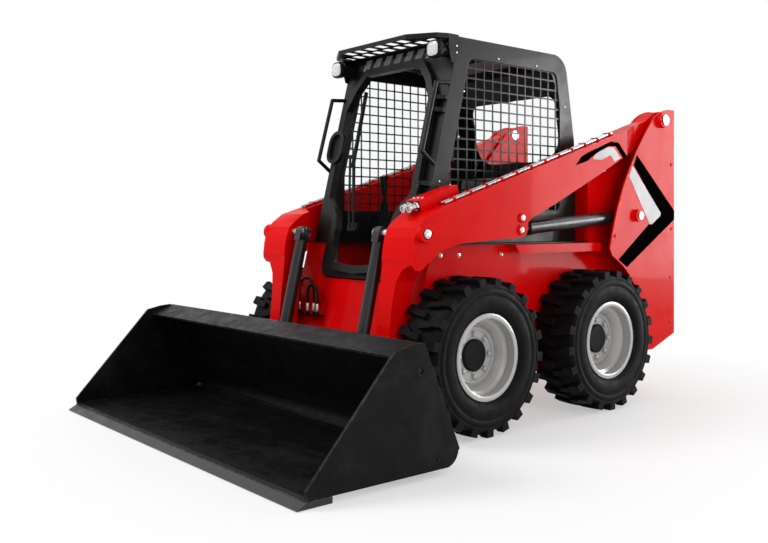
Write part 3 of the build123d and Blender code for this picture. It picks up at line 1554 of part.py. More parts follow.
riser_top_z = hose_shelf_z + hose_shelf_wall - 1 + riser_tall
for name, ends, top_z in (
    ("hose_outer", (riser_places[0], riser_places[1]), 724.0),
    ("hose_inner", (riser_places[2], riser_places[3]), 690.0),
):
    half_span = (ends[1][0] - ends[0][0]) / 2
    middle_x = (ends[0][0] + ends[1][0]) / 2
    hose_y = axle_y + hose_shelf_front_s + ends[0][1]
    with BuildPart() as hose:
        with BuildLine(Plane(origin=(middle_x, hose_y, riser_top_z + seat_gap), x_dir=(1, 0, 0), z_dir=(0, -1, 0))):
            Line((-half_span, 0), (-half_span, top_z - riser_top_z - half_span))
            ThreePointArc(
                (-half_span, top_z - riser_top_z - half_span),
                (0, top_z - riser_top_z),
                (half_span, top_z - riser_top_z - half_span),
            )
            Line((half_span, top_z - riser_top_z - half_span), (half_span, 0))
        with BuildSketch(
            Plane(origin=(middle_x - half_span, hose_y, riser_top_z + seat_gap), x_dir=(1, 0, 0), z_dir=(0, 0, 1))
        ):
            Circle(hose_r)
        sweep()
    hose.part.label = name
    export_step(hose.part, f"parts/{name}.step")

# ================================================================== cylinders
# Each runs from its barrel's pin to its rod's eye. The barrel turns on its pin; the rod slides in the barrel.
rod_fit = 0.05
rod_eye_side = 6.0  # free space each side of a rod's eye


def along(low, high, x):
    """Plane at the first point facing the second, both given as (station, height), at x across."""
    return Plane(
        origin=(x, axle_y + low[0], low[1]), x_dir=(1, 0, 0), z_dir=(0, high[0] - low[0], high[1] - low[1])
    )


def make_barrel(name, base, end, x, outer_r, rod_r, length, base_pin_r, base_half):
    """A barrel with its base eye at one end and its gland at the other."""
    axis = along(base, end, x)
    with BuildPart() as barrel:
        with BuildSketch(axis):
            Circle(outer_r)
        extrude(amount=length)
        with BuildSketch(axis.offset(length - 40)):
            Circle(outer_r + 4)
        extrude(amount=40)
        with BuildSketch(axis.offset(-outer_r)):
            Rectangle(2 * outer_r + 20, 2 * outer_r + 20)
        extrude(amount=outer_r + eye_r + 14, mode=Mode.SUBTRACT)
        with BuildSketch(axis):
            Rectangle(2 * base_half, 2 * eye_r)
        extrude(amount=eye_r + 16)
        with BuildSketch(side(x - base_half)):
            with Locations(base):
                Circle(eye_r)
        extrude(amount=2 * base_half)
        # the bore the rod slides in, and the pin's bore
        with BuildSketch(axis.offset(eye_r + 24)):
            Circle(rod_r + rod_fit)
        extrude(amount=length, mode=Mode.SUBTRACT)
        with BuildSketch(side(x - base_half - 1)):
            with Locations(base):
                Circle(base_pin_r + pin_fit)
        extrude(amount=2 * base_half + 2, mode=Mode.SUBTRACT)
    barrel.part.label = name
    export_step(barrel.part, f"parts/{name}.step")


def make_rod(name, base, end, x, rod_r, start, end_half, stub_r):
    """A rod that starts inside its barrel and ends in an eye with its own pin, free between its lugs."""
    axis = along(base, end, x)
    reach = math.dist(base, end)
    with BuildPart() as rod:
        with BuildSketch(axis.offset(start)):
            Circle(rod_r)
        extrude(amount=reach - start)
        with BuildSketch(side(x - end_half)):
            with Locations(end):
                Circle(eye_r)
        extrude(amount=2 * end_half)
        with BuildSketch(side(x - end_half - 1)):
            with Locations(end):
                Circle(stub_r)
        extrude(amount=2 * end_half + 2)
    rod.part.label = name
    export_step(rod.part, f"parts/{name}.step")


lift_base = (lift_base_s, lift_base_z)
lift_eye = (lift_eye_s, lift_eye_z)
tilt_top = (tilt_top_s, tilt_top_z)
tilt_low = (tilt_low_s, tilt_low_z)
lift_barrel_length = 905.0
tilt_barrel_length = 545.0
lift_rod_start = 110.0
tilt_rod_start = 130.0
for hand, word in ((1, "left"), (-1, "right")):
    make_barrel(
        f"lift_barrel_{word}", lift_base, lift_eye, hand * lift_x, lift_barrel_r, lift_rod_r,
        lift_barrel_length, lift_pin_r, eye_half,
    )
    make_rod(
        f"lift_rod_{word}", lift_base, lift_eye, hand * lift_x, lift_rod_r, lift_rod_start, eye_half, lift_pin_r
    )
    make_barrel(
        f"tilt_barrel_{word}", tilt_top, tilt_low, hand * tilt_x, tilt_barrel_r, tilt_rod_r,
        tilt_barrel_length, tilt_pin_r, eye_half,
    )
    make_rod(
        f"tilt_rod_{word}", tilt_top, tilt_low, hand * tilt_x, tilt_rod_r, tilt_rod_start, eye_half, tilt_pin_r
    )

# ================================================================== bucket and its attaching plate
# back_up(e, n) is the point e up the bucket's flat back and n behind it, as (station, height).
back_low = (-515.0, 98.0)
back_top = (-697.0, 518.0)
back_length = math.dist(back_low, back_top)
back_lean = ((back_top[0] - back_low[0]) / back_length, (back_top[1] - back_low[1]) / back_length)


def back_up(e, n):
    """Point e up the bucket's flat back and n behind it."""
    return (
        back_low[0] + back_lean[0] * e + back_lean[1] * n,
        back_low[1] + back_lean[1] * e - back_lean[0] * n,
    )


attach_half = 560.0
attach_wall = 16.0
attach_low = 34.0
attach_high = 430.0
lug_wall = 12.0
tilt_lug_r = 40.0
hinge_lug_r = 48.0
with BuildPart() as attach_plate:
    with BuildSketch(side(-attach_half)):
        with BuildLine():
            Polyline(
                back_up(attach_low, seat_gap),
                back_up(attach_high, seat_gap),
                back_up(attach_high, attach_wall + seat_gap),
                back_up(attach_low, attach_wall + seat_gap),
                close=True,
            )
        make_face()
    extrude(amount=2 * attach_half)
    tilt_lugs = (tilt_x - eye_half - rod_eye_side - lug_wall, tilt_x + eye_half + rod_eye_side)
    hinge_lugs = (leg_inner_x - clear - lug_wall, leg_outer_x + clear)
    for lug_places, lug_end, lug_r, foot_low, foot_high in (
        (tilt_lugs, tilt_low, tilt_lug_r, 120.0, 235.0),
        (hinge_lugs, (hinge_s, hinge_z), hinge_lug_r, attach_low + 2, 130.0),
    ):
        for lug_place in lug_places:
            for lug_x in (lug_place, -lug_place - lug_wall):
                with BuildSketch(side(lug_x)):
                    with BuildLine():
                        Polyline(
                            back_up(foot_low, attach_wall - 1),
                            back_up(foot_high, attach_wall - 1),
                            (lug_end[0] + lug_r * 0.5, lug_end[1] + lug_r * 0.84),
                            (lug_end[0] + lug_r * 0.1, lug_end[1] - lug_r * 0.99),
                            close=True,
                        )
                    make_face()
                    with Locations(lug_end):
                        Circle(lug_r)
                extrude(amount=lug_wall)
    with BuildSketch(side(-attach_half)):
        with Locations((hinge_s, hinge_z)):
            Circle(hinge_pin_r + seat_gap)
    extrude(amount=2 * attach_half, mode=Mode.SUBTRACT)
attach_plate.part.label = "attach_plate"
export_step(attach_plate.part, "parts/attach_plate.step")

hinge_pin_head = 8.0
with BuildPart() as hinge_pins:
    for hand in (1, -1):
        facing = Plane(origin=(0, axle_y + hinge_s, hinge_z), x_dir=(0, 1, 0), z_dir=(hand, 0, 0))
        with BuildSketch(facing.offset(hinge_lugs[0] - seat_gap - hinge_pin_head)):
            Circle(hinge_pin_r + 8)
        extrude(amount=hinge_pin_head)
        with BuildSketch(facing.offset(hinge_lugs[0] - seat_gap - 1)):
            Circle(hinge_pin_r)
        extrude(amount=hinge_lugs[1] + lug_wall - hinge_lugs[0] + seat_gap + 2)
hinge_pins.part.label = "hinge_pins"
export_step(hinge_pins.part, "parts/hinge_pins.step")

heel_r = 70.0
bucket_nose_s = -1292.0
bucket_lip = (-843.0, 505.0)
edge_back_s = -1172.0
edge_bevel = 42.0
side_outline = [
    (-1292.0, 66.0),
    (-1288.0, 36.0),
    (-1175.0, bucket_low_z + seat_gap),
    (-576.0, bucket_low_z + seat_gap),
    back_low,
    back_top,
    (-726.0, 554.0),
    (-789.0, 549.0),
    (-871.0, 531.0),
]
bucket_holes = (
    # (station, height, radius) of the holes through both side plates
    (-734.0, 443.0, 14.0),
    (-648.0, 72.0, 9.0),
)
heel_s = back_low[0] + (back_low[1] - bucket_low_z - seat_gap) * 0.4333
with BuildPart() as bucket:
    with BuildSketch(side(-bucket_half)) as skin_side:
        with BuildLine():
            Polyline(
                (bucket_nose_s, bucket_low_z + seat_gap),
                (heel_s, bucket_low_z + seat_gap),
                (-711.7, 552.0),
                bucket_lip,
                (bucket_lip[0] + 3.4, bucket_lip[1] - 9.4),
                (-717.4, 539.4),
                (heel_s - 10.9 - 4.3, bucket_low_z + seat_gap + bucket_skin),
                (bucket_nose_s + 14, bucket_low_z + seat_gap + bucket_skin),
                close=True,
            )
        make_face()
        heel_corners = skin_side.vertices().sort_by(lambda v: v.X - v.Y)[-2:]
        fillet(heel_corners[-1:], heel_r)
        heel_corners = skin_side.vertices().sort_by(
            lambda v: math.dist((v.X, v.Y), (heel_s - 15.2, bucket_low_z + seat_gap + bucket_skin))
        )[:1]
        fillet(heel_corners, heel_r - bucket_skin)
    extrude(amount=2 * bucket_half)
    for plate_x in (-bucket_half, bucket_half - bucket_plate):
        with BuildSketch(side(plate_x)):
            with BuildLine():
                Polyline(*side_outline, close=True)
            make_face()
        extrude(amount=bucket_plate)
        for hole_s, hole_z, hole_r in bucket_holes:
            with BuildSketch(side(plate_x - 1)):
                with Locations((hole_s, hole_z)):
                    Circle(hole_r)
            extrude(amount=bucket_plate + 2, mode=Mode.SUBTRACT)
    # hook over the attaching plate's upper edge and the ledge below it
    for hook_half, hook in (
        (
            attach_half - 30,
            ((attach_high + 2, -3), (attach_high + 16, -3), (attach_high + 16, 32), (attach_high - 22, 32),
             (attach_high - 22, attach_wall + 2), (attach_high + 2, attach_wall + 2)),
        ),
        (
            hinge_lugs[0] - clear,
            ((attach_low - 16, -6), (attach_low - seat_gap, -6), (attach_low - seat_gap, 34), (attach_low - 16, 34)),
        ),
    ):
        with BuildSketch(side(-hook_half)):
            with BuildLine():
                Polyline(*[back_up(e, n) for e, n in hook], close=True)
            make_face()
        extrude(amount=2 * hook_half)
bucket.part.label = "bucket"
export_step(bucket.part, "parts/bucket.step")

with BuildPart() as cutting_edge:
    with BuildSketch(side(-bucket_half)):
        with BuildLine():
            Polyline(
                (-front_reach, edge_low_z),
                (-front_reach, edge_low_z + 3),
                (-front_reach + edge_bevel, bucket_low_z),
                (edge_back_s, bucket_low_z),
                (edge_back_s, edge_low_z),
                close=True,
            )
        make_face()
    extrude(amount=2 * bucket_half)
cutting_edge.part.label = "cutting_edge"
export_step(cutting_edge.part, "parts/cutting_edge.step")
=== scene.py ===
"""Looks of the skid steer loader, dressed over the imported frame.

Places are given as at(x, s, z) in millimetres: x across the machine (its left is +), s the station behind the
front axle and z the height above the ground.
"""

import math

import bmesh
import bpy
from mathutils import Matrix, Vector


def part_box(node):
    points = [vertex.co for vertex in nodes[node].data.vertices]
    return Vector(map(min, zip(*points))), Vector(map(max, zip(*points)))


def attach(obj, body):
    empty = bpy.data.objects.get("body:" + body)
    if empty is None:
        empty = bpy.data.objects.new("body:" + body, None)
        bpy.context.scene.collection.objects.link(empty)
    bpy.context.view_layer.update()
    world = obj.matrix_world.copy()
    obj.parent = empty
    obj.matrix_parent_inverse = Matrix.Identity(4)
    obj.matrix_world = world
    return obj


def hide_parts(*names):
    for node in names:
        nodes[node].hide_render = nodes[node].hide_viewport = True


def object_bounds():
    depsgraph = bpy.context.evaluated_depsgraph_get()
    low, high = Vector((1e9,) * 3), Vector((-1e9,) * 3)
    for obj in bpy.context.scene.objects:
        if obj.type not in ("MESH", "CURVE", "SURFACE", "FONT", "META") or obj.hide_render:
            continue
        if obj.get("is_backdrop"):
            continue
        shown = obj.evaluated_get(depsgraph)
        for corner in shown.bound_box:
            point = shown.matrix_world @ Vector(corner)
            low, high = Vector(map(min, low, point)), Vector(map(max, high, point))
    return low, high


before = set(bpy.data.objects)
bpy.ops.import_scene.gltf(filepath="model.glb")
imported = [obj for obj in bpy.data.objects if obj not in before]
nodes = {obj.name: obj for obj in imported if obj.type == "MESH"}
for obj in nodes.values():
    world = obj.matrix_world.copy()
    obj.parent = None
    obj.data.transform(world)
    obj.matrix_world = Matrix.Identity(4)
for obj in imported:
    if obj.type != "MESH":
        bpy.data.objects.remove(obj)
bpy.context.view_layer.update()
scene = bpy.context.scene

WHEELS = ("front_left", "front_right", "rear_left", "rear_right")


def middle(node):
    """Centre of a CAD node's box."""
    low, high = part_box(node)
    return (low + high) / 2


def linked(name, data):
    """Object of that name and data, in the scene."""
    made = bpy.data.objects.new(name, data)
    scene.collection.objects.link(made)
    return made


AXLE = middle("rim_front_left")  # stations are measured from it


def at(x, s, z):
    """Point at x across, station s and height z, all in millimetres."""
    return Vector((x / 1000, AXLE.y + s / 1000, z / 1000))


# ---------------------------------------------------------------- camera
CAMERA_PLACE = (3.719, -3.360, 1.036)
CAMERA_TURN = 0.875  # about the upright, in radians
LENS = 41.15
SENSOR = 36.0
SHIFT_Y = -0.0632

camera = linked("camera", bpy.data.cameras.new("camera"))
scene.camera = camera
camera.data.sensor_width = SENSOR
camera.data.lens = LENS
camera.data.shift_y = SHIFT_Y
camera.location = CAMERA_PLACE
camera.rotation_euler = (math.radians(90), 0, CAMERA_TURN)
camera.data.clip_end = 200


# ---------------------------------------------------------------- materials


def material(name, base, rough, metal=0.0, **sockets):
    """A Principled material and its nodes."""
    made = bpy.data.materials.new(name)
    made.use_nodes = True
    tree = made.node_tree
    shader = tree.nodes["Principled BSDF"]
    shader.inputs["Base Color"].default_value = (*base, 1)
    shader.inputs["Roughness"].default_value = rough
    shader.inputs["Metallic"].default_value = metal
    for socket, value in sockets.items():
        shader.inputs[socket.replace("_", " ")].default_value = value
    return made, tree, shader


def noise(tree, scale, detail=4.0, rough=0.55, stretch=(1, 1, 1)):
    """Noise in the object's own coordinates, which are metres in the row frame."""
    place = tree.nodes.new("ShaderNodeTexCoord")
    mapping = tree.nodes.new("ShaderNodeMapping")
    mapping.inputs["Scale"].default_value = stretch
    tree.links.new(place.outputs["Object"], mapping.inputs["Vector"])
    made = tree.nodes.new("ShaderNodeTexNoise")
    made.inputs["Scale"].default_value = scale
    made.inputs["Detail"].default_value = detail
    made.inputs["Roughness"].default_value = rough
    tree.links.new(mapping.outputs["Vector"], made.inputs["Vector"])
    return made.outputs["Fac"]


def spread(tree, value, low, high, start=0.35, end=0.65):
    """value stretched from start..end to low..high, for a roughness or a mix."""
    made = tree.nodes.new("ShaderNodeMapRange")
    made.inputs["From Min"].default_value = start
    made.inputs["From Max"].default_value = end
    made.inputs["To Min"].default_value = low
    made.inputs["To Max"].default_value = high
    tree.links.new(value, made.inputs["Value"])
    return made.outputs["Result"]


def blended(tree, factor, low, high):
    """Colour that runs from low to high, each a colour or a socket, with factor."""
    made = tree.nodes.new("ShaderNodeMix")
    made.data_type = "RGBA"
    tree.links.new(factor, made.inputs[0])
    for socket, colour in ((made.inputs[6], low), (made.inputs[7], high)):
        if isinstance(colour, bpy.types.NodeSocket):
            tree.links.new(colour, socket)
        else:
            socket.default_value = (*colour, 1)
    return made.outputs[2]


def bump(tree, shader, height, depth, strength=1.0):
    """Raises the surface by depth metres where height is 1."""
    made = tree.nodes.new("ShaderNodeBump")
    made.inputs["Strength"].default_value = strength
    made.inputs["Distance"].default_value = depth
    tree.links.new(height, made.inputs["Height"])
    tree.links.new(made.outputs["Normal"], shader.inputs["Normal"])


def edge_wear(tree, width):
    """1 along edges and 0 on flat faces, broken up by noise."""
    bevel = tree.nodes.new("ShaderNodeBevel")
    bevel.samples = 4
    bevel.inputs["Radius"].default_value = width
    true_normal = tree.nodes.new("ShaderNodeNewGeometry")
    dot = tree.nodes.new("ShaderNodeVectorMath")
    dot.operation = "DOT_PRODUCT"
    tree.links.new(bevel.outputs["Normal"], dot.inputs[0])
    tree.links.new(true_normal.outputs["Normal"], dot.inputs[1])
    edge = spread(tree, dot.outputs["Value"], 1, 0, 0.80, 0.985)
    broken = spread(tree, noise(tree, 38, 5), 0, 1, 0.42, 0.60)
    both = tree.nodes.new("ShaderNodeMath")
    both.operation = "MULTIPLY"
    tree.links.new(edge, both.inputs[0])
    tree.links.new(broken, both.inputs[1])
    return both.outputs["Value"]


def painted_corner_shade(tree, reach):
    """Mask for painted shade: 0 in deep corners and 1 in the open, from ambient occlusion."""
    made = tree.nodes.new("ShaderNodeAmbientOcclusion")
    made.samples = 4
    made.inputs["Distance"].default_value = reach
    return spread(tree, made.outputs["AO"], 0, 1, 0.15, 0.95)


def shade_of(base, share):
    """Colour base, darker or brighter by share."""
    return tuple(min(1.0, share * part) for part in base)


def paint(name, base, rough, coat=0.0, gloss=0.2, peel=0.00003, worn=None, shade_reach=0.0):
    """Sprayed paint with a slight orange peel and uneven gloss.

    Its edges have the colour worn, and painted shade darkens corners within the given reach in metres, where
    these are given.
    """
    made, tree, shader = material(
        name, base, rough, Coat_Weight=coat, Coat_Roughness=0.05, Specular_IOR_Level=gloss
    )
    shade = spread(tree, noise(tree, 1.4, 3), 0, 1)
    colour = blended(tree, shade, shade_of(base, 0.90), shade_of(base, 1.04))
    if worn:
        colour = blended(tree, edge_wear(tree, 0.004), colour, worn)
    if shade_reach:
        # painted shade: the colour darkens in corners, from an ambient occlusion mask
        colour = blended(tree, painted_corner_shade(tree, shade_reach), shade_of(base, 0.12), colour)
    tree.links.new(colour, shader.inputs["Base Color"])
    tree.links.new(spread(tree, noise(tree, 9, 5), rough * 0.8, rough * 1.3), shader.inputs["Roughness"])
    bump(tree, shader, noise(tree, 420, 2), peel)
    return made


def metal(name, base, rough, scale):
    """Bare metal with a fine, even grain."""
    made, tree, shader = material(name, base, rough, 1.0)
    mark = noise(tree, scale, 6, 0.6)
    tree.links.new(spread(tree, mark, rough * 0.6, rough * 1.5), shader.inputs["Roughness"])
    colour = blended(tree, spread(tree, mark, 0, 1), shade_of(base, 0.8), base)
    tree.links.new(colour, shader.inputs["Base Color"])
    bump(tree, shader, mark, 0.00004)
    return made


red_paint = paint("red_paint", (0.76, 0.0015, 0.002), 0.3, coat=0.05, gloss=0.03, worn=(0.84, 0.02, 0.02))
black_paint = paint(
    "black_paint", (0.006, 0.0055, 0.0055), 0.38, coat=0.05, gloss=0.16, worn=(0.03, 0.028, 0.028)
)
cylinder_paint = paint("cylinder_paint", (0.012, 0.012, 0.012), 0.3, gloss=0.35)
# the rims' paint gets painted shade, darker in their corners
rim_paint = paint(
    "rim_paint", (0.46, 0.45, 0.44), 0.3, coat=0.3, gloss=0.6, worn=(0.7, 0.7, 0.7), shade_reach=0.05
)
steel = metal("steel", (0.58, 0.57, 0.56), 0.26, 90)
chrome = metal("chrome", (0.78, 0.78, 0.80), 0.08, 300)
iron = paint("iron", (0.02, 0.02, 0.021), 0.62)
decal_black = paint("decal_black", (0.002, 0.002, 0.002), 0.5, gloss=0.0)
decal_grey = paint("decal_grey", (0.42, 0.42, 0.43), 0.35)
headliner_grey = paint("headliner_grey", (0.20, 0.19, 0.19), 0.7)
lamp_red = paint("lamp_red", (0.5, 0.005, 0.006), 0.12, coat=0.8, gloss=0.5)
lamp_amber = paint("lamp_amber", (0.85, 0.22, 0.01), 0.12, coat=0.8, gloss=0.5)


def make_bucket_steel():
    """Black mill paint, scuffed in long strokes and greyer along its edges."""
    made, tree, shader = material("bucket_steel", (0.02, 0.02, 0.021), 0.42, Specular_IOR_Level=0.08)
    scuff = spread(tree, noise(tree, 6, 8, 0.7, (0.25, 1, 1)), 0, 1, 0.5, 0.72)
    colour = blended(tree, scuff, (0.004, 0.004, 0.004), (0.013, 0.0125, 0.012))
    colour = blended(tree, edge_wear(tree, 0.005), colour, (0.11, 0.10, 0.095))
    tree.links.new(colour, shader.inputs["Base Color"])
    tree.links.new(spread(tree, noise(tree, 14, 6, 0.65), 0.28, 0.52), shader.inputs["Roughness"])
    bump(tree, shader, noise(tree, 60, 6, 0.6), 0.0002, 0.5)
    return made


def make_rubber(name, base, rough, dust):
    """Rubber: a fine grain, greyer where dust lies."""
    made, tree, shader = material(name, base, rough, Specular_IOR_Level=0.05)
    dusty = spread(tree, noise(tree, 7, 6, 0.65), 0, 1, 0.4, 0.75)
    tree.links.new(blended(tree, dusty, base, dust), shader.inputs["Base Color"])
    uneven = spread(tree, noise(tree, 22, 4), rough * 0.85, min(1, rough * 1.15))
    tree.links.new(uneven, shader.inputs["Roughness"])
    bump(tree, shader, noise(tree, 350, 4), 0.00025)
    return made


def make_glass(name, base):
    """Thin pane with the faintest unevenness in its gloss."""
    made, tree, shader = material(name, base, 0.02, Transmission_Weight=1.0, IOR=1.02, Specular_IOR_Level=0.6)
    tree.links.new(spread(tree, noise(tree, 4, 3), 0.0, 0.03), shader.inputs["Roughness"])
    return made


def make_fabric():
    """Woven seat cover: fine threads with a worn sheen."""
    made, tree, shader = material("seat_fabric", (0.02, 0.02, 0.021), 0.85, Sheen_Weight=0.35)
    place = tree.nodes.new("ShaderNodeTexCoord")
    rows = []
    for turn in (0.0, math.pi / 2):
        mapping = tree.nodes.new("ShaderNodeMapping")
        mapping.inputs["Rotation"].default_value = (turn, turn, 0)
        tree.links.new(place.outputs["Object"], mapping.inputs["Vector"])
        wave = tree.nodes.new("ShaderNodeTexWave")
        wave.inputs["Scale"].default_value = 260
        wave.inputs["Distortion"].default_value = 0.6
        tree.links.new(mapping.outputs["Vector"], wave.inputs["Vector"])
        rows.append(wave.outputs["Fac"])
    weave = tree.nodes.new("ShaderNodeMath")
    weave.operation = "MULTIPLY"
    tree.links.new(rows[0], weave.inputs[0])
    tree.links.new(rows[1], weave.inputs[1])
    colour = blended(tree, weave.outputs["Value"], (0.012, 0.012, 0.013), (0.045, 0.045, 0.047))
    tree.links.new(colour, shader.inputs["Base Color"])
    bump(tree, shader, weave.outputs["Value"], 0.0006)
    return made


def make_lens():
    """White lamp lens with fine flutes."""
    made, tree, shader = material(
        "lens_white", (0.62, 0.62, 0.62), 0.15, Coat_Weight=0.8, Coat_Roughness=0.03
    )
    flutes = spread(tree, noise(tree, 60, 2, 0.5, (1, 1, 6)), 0, 1)
    tree.links.new(blended(tree, flutes, (0.50, 0.50, 0.50), (0.78, 0.78, 0.78)), shader.inputs["Base Color"])
    return made


bucket_steel = make_bucket_steel()
tyre_rubber = make_rubber("tyre_rubber", (0.005, 0.005, 0.005), 0.6, (0.011, 0.0105, 0.010))
hose_rubber = make_rubber("hose_rubber", (0.012, 0.012, 0.012), 0.45, (0.02, 0.02, 0.02))
black_plastic = make_rubber("black_plastic", (0.007, 0.007, 0.007), 0.42, (0.013, 0.013, 0.013))
edge_steel = paint("edge_steel", (0.022, 0.019, 0.018), 0.34, gloss=0.35, worn=(0.14, 0.13, 0.125))
clear_glass = make_glass("clear_glass", (0.93, 0.95, 0.95))
lens_white = make_lens()
seat_fabric = make_fabric()

FINISHES = (
    # (finish, its nodes)
    (
        red_paint,
        "main_frame towers hood rear_door arm_left arm_right leg_left leg_right cross_tube "
        "coupler_bracket",
    ),
    (
        black_paint,
        "cab_shell visor side_screens door_frame cab_floor door_hinges grab_loops hose_shelf",
    ),
    (cylinder_paint, "lift_barrel_left lift_barrel_right tilt_barrel_left tilt_barrel_right"),
    (bucket_steel, "bucket attach_plate"),
    (edge_steel, "cutting_edge"),
    (iron, "axles engine_block"),
    (steel, "tower_pins tilt_pins hinge_pins couplers arm_pipes"),
    (chrome, "lift_rod_left lift_rod_right tilt_rod_left tilt_rod_right"),
    (hose_rubber, "hose_outer hose_inner"),
    (clear_glass, "door_glass rear_window"),
    (black_plastic, "headlamps controls wiper"),
    (seat_fabric, "seat"),
    (rim_paint, " ".join("rim_" + wheel for wheel in WHEELS)),
    (tyre_rubber, " ".join("tyre_" + wheel for wheel in WHEELS)),
)
for finish, names in FINISHES:
    for node in names.split():
        slots = nodes[node].data.materials
        for place in range(len(slots)):
            slots[place] = finish
        if not slots:
            slots.append(finish)

# ---------------------------------------------------------------- soft edges on the CAD plates


def soften(piece, rounding, angle):
    """Rounds the edges of piece that are sharper than angle degrees, by rounding metres."""
    rounded = piece.modifiers.new("rounded", "BEVEL")
    rounded.width = rounding
    rounded.segments = 2
    rounded.limit_method = "ANGLE"
    rounded.angle_limit = math.radians(angle)
    rounded.harden_normals = True


SOFT_EDGES = {
    # node: rounding of its edges in metres
    "main_frame": 0.004,
    "towers": 0.003,
    "hood": 0.004,
    "rear_door": 0.003,
    "arm_left": 0.005,
    "arm_right": 0.005,
    "coupler_bracket": 0.0015,
    "cab_shell": 0.003,
    "visor": 0.0015,
    "door_frame": 0.003,
    "bucket": 0.0015,
    "cutting_edge": 0.001,
    "attach_plate": 0.002,
    "headlamps": 0.006,
}
for node, rounding in SOFT_EDGES.items():
    piece = nodes[node]
    weld = piece.modifiers.new("weld", "WELD")
    weld.merge_threshold = 0.00002
    flat = piece.modifiers.new("flat", "DECIMATE")
    flat.decimate_type = "DISSOLVE"
    flat.angle_limit = math.radians(0.5)
    soften(piece, rounding, 28)

# ---------------------------------------------------------------- mesh tools
SIDES = (("left", 1), ("right", -1))


def prism(bm, outline, shift):
    """Solid between an outline of points and the same outline moved by shift."""
    low = [bm.verts.new(point) for point in outline]
    high = [bm.verts.new(point + shift) for point in outline]
    bm.faces.new(low)
    bm.faces.new(high)
    for place in range(len(low)):
        bm.faces.new((low[place - 1], low[place], high[place], high[place - 1]))


def lathe(bm, profile, foot, axis, count=32):
    """Profile of (height along axis, radius) in millimetres, turned about axis from foot."""
    axis = Vector(axis).normalized()
    across = axis.orthogonal().normalized()
    other = axis.cross(across)
    rings = []
    for height, radius in profile:
        centre = foot + axis * height / 1000
        if radius == 0:
            rings.append([bm.verts.new(centre)] * count)
            continue
        ring = []
        for step in range(count):
            turn = 2 * math.pi * step / count
            spoke = (across * math.cos(turn) + other * math.sin(turn)) * radius / 1000
            ring.append(bm.verts.new(centre + spoke))
        rings.append(ring)
    for low, high in zip(rings, rings[1:]):
        for step in range(count):
            corners = []
            for corner in (low[step - 1], low[step], high[step], high[step - 1]):
                if corner not in corners:
                    corners.append(corner)
            if len(corners) > 2:
                bm.faces.new(corners)


def finished(name, bm, body, finish, rounding=0.0, angle=35):
    """Piece made of bm, riding on body, with rounded edges where rounding is given in metres."""
    bmesh.ops.recalc_face_normals(bm, faces=bm.faces)
    mesh = bpy.data.meshes.new(name)
    bm.to_mesh(mesh)
    bm.free()
    made = linked(name, mesh)
    mesh.materials.append(finish)
    mesh.shade_smooth()
    mesh.set_sharp_from_angle(angle=math.radians(angle))
    if rounding:
        soften(made, rounding, angle)
    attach(made, body)
    return made


def bolt(bm, foot, axis, radius, height, washer=True):
    """Domed bolt head on its washer."""
    profile = [(-1, radius * 1.3), (1.2, radius * 1.3), (1.6, radius * 1.22)] if washer else [(-1, radius)]
    profile += [(1.6, radius), (height * 0.55, radius * 0.96), (height * 0.85, radius * 0.7), (height, 0)]
    lathe(bm, profile, foot, axis, 16)


# ---------------------------------------------------------------- tyres and wheels
LUGS = 21  # in each of the two rows
TYRE_R = 387.0
TREAD_R = 361.0
LUG_FOOT_R = 336.0  # foot of a lug's shoulder, beyond SHOULDER_X
SHOULDER_X = 100
WHEEL_BOLTS = 8
BOLT_CIRCLE_R = 103.5
VALVE_R = 163.0
VALVE_TURN = 132.0
TYRE_PROFILE = [
    # (out from the wheel's centre plane, radius)
    (101, 201), (103.5, 214), (112, 222), (124, 236), (129, 252), (130.5, 268), (130.5, 294),
    (128.5, 297), (128.5, 303), (130.8, 306), (130.8, 328), (127.5, 331), (127.5, 336), (129.5, 340),
    (126, 349), (117, 356), (104, 360), (70, 361.5), (0, 362),
]
LUG_OUTLINE = [
    # (out from the centre plane, back round the tyre)
    (-10, -42), (60, -32), (82, -25), (129, -23), (129, 25), (88, 25), (70, 14), (56, 2), (-10, -9),
]
HUB_CAP = [(12.1, 79.5), (20, 79.5), (26.6, 72.5), (27.0, 60), (27.2, 0)]
WHEEL_NUT = [(-2, 17), (2.5, 17), (3.5, 15.5), (3.5, 12.5), (11, 12), (15, 8.5), (16.5, 0)]
VALVE = [(-4, 7), (4, 6), (16, 4.5), (30, 4), (31, 0)]
DISC_RINGS = (
    # rings pressed into the disc and the rim's flange, with their facets
    ([(11, 84), (14.5, 85.5), (14.5, 88.5), (11, 90)], 64),
    ([(11, 124), (16, 127), (16, 139), (11, 143)], 64),
    ([(104, 191.5), (106.5, 189), (112.5, 188.5), (114.2, 192), (114.2, 209), (112, 212.6)], 96),
)


def lug_point(x, swing, radius, row, lug, centre, hand):
    """Point of a lug: x out from the centre plane and swing back round the tyre, both in millimetres."""
    turn = 2 * math.pi * (lug + 0.5) / (2 * LUGS) - swing / TYRE_R
    return centre + Vector(
        (hand * row * x / 1000, radius * math.cos(turn) / 1000, radius * math.sin(turn) / 1000)
    )


def on_disc(hand, out, radius, degrees):
    """Step from a wheel's centre to a place on its disc, with out and radius in millimetres."""
    turn = math.radians(degrees)
    return Vector((hand * out, radius * math.cos(turn), radius * math.sin(turn))) / 1000


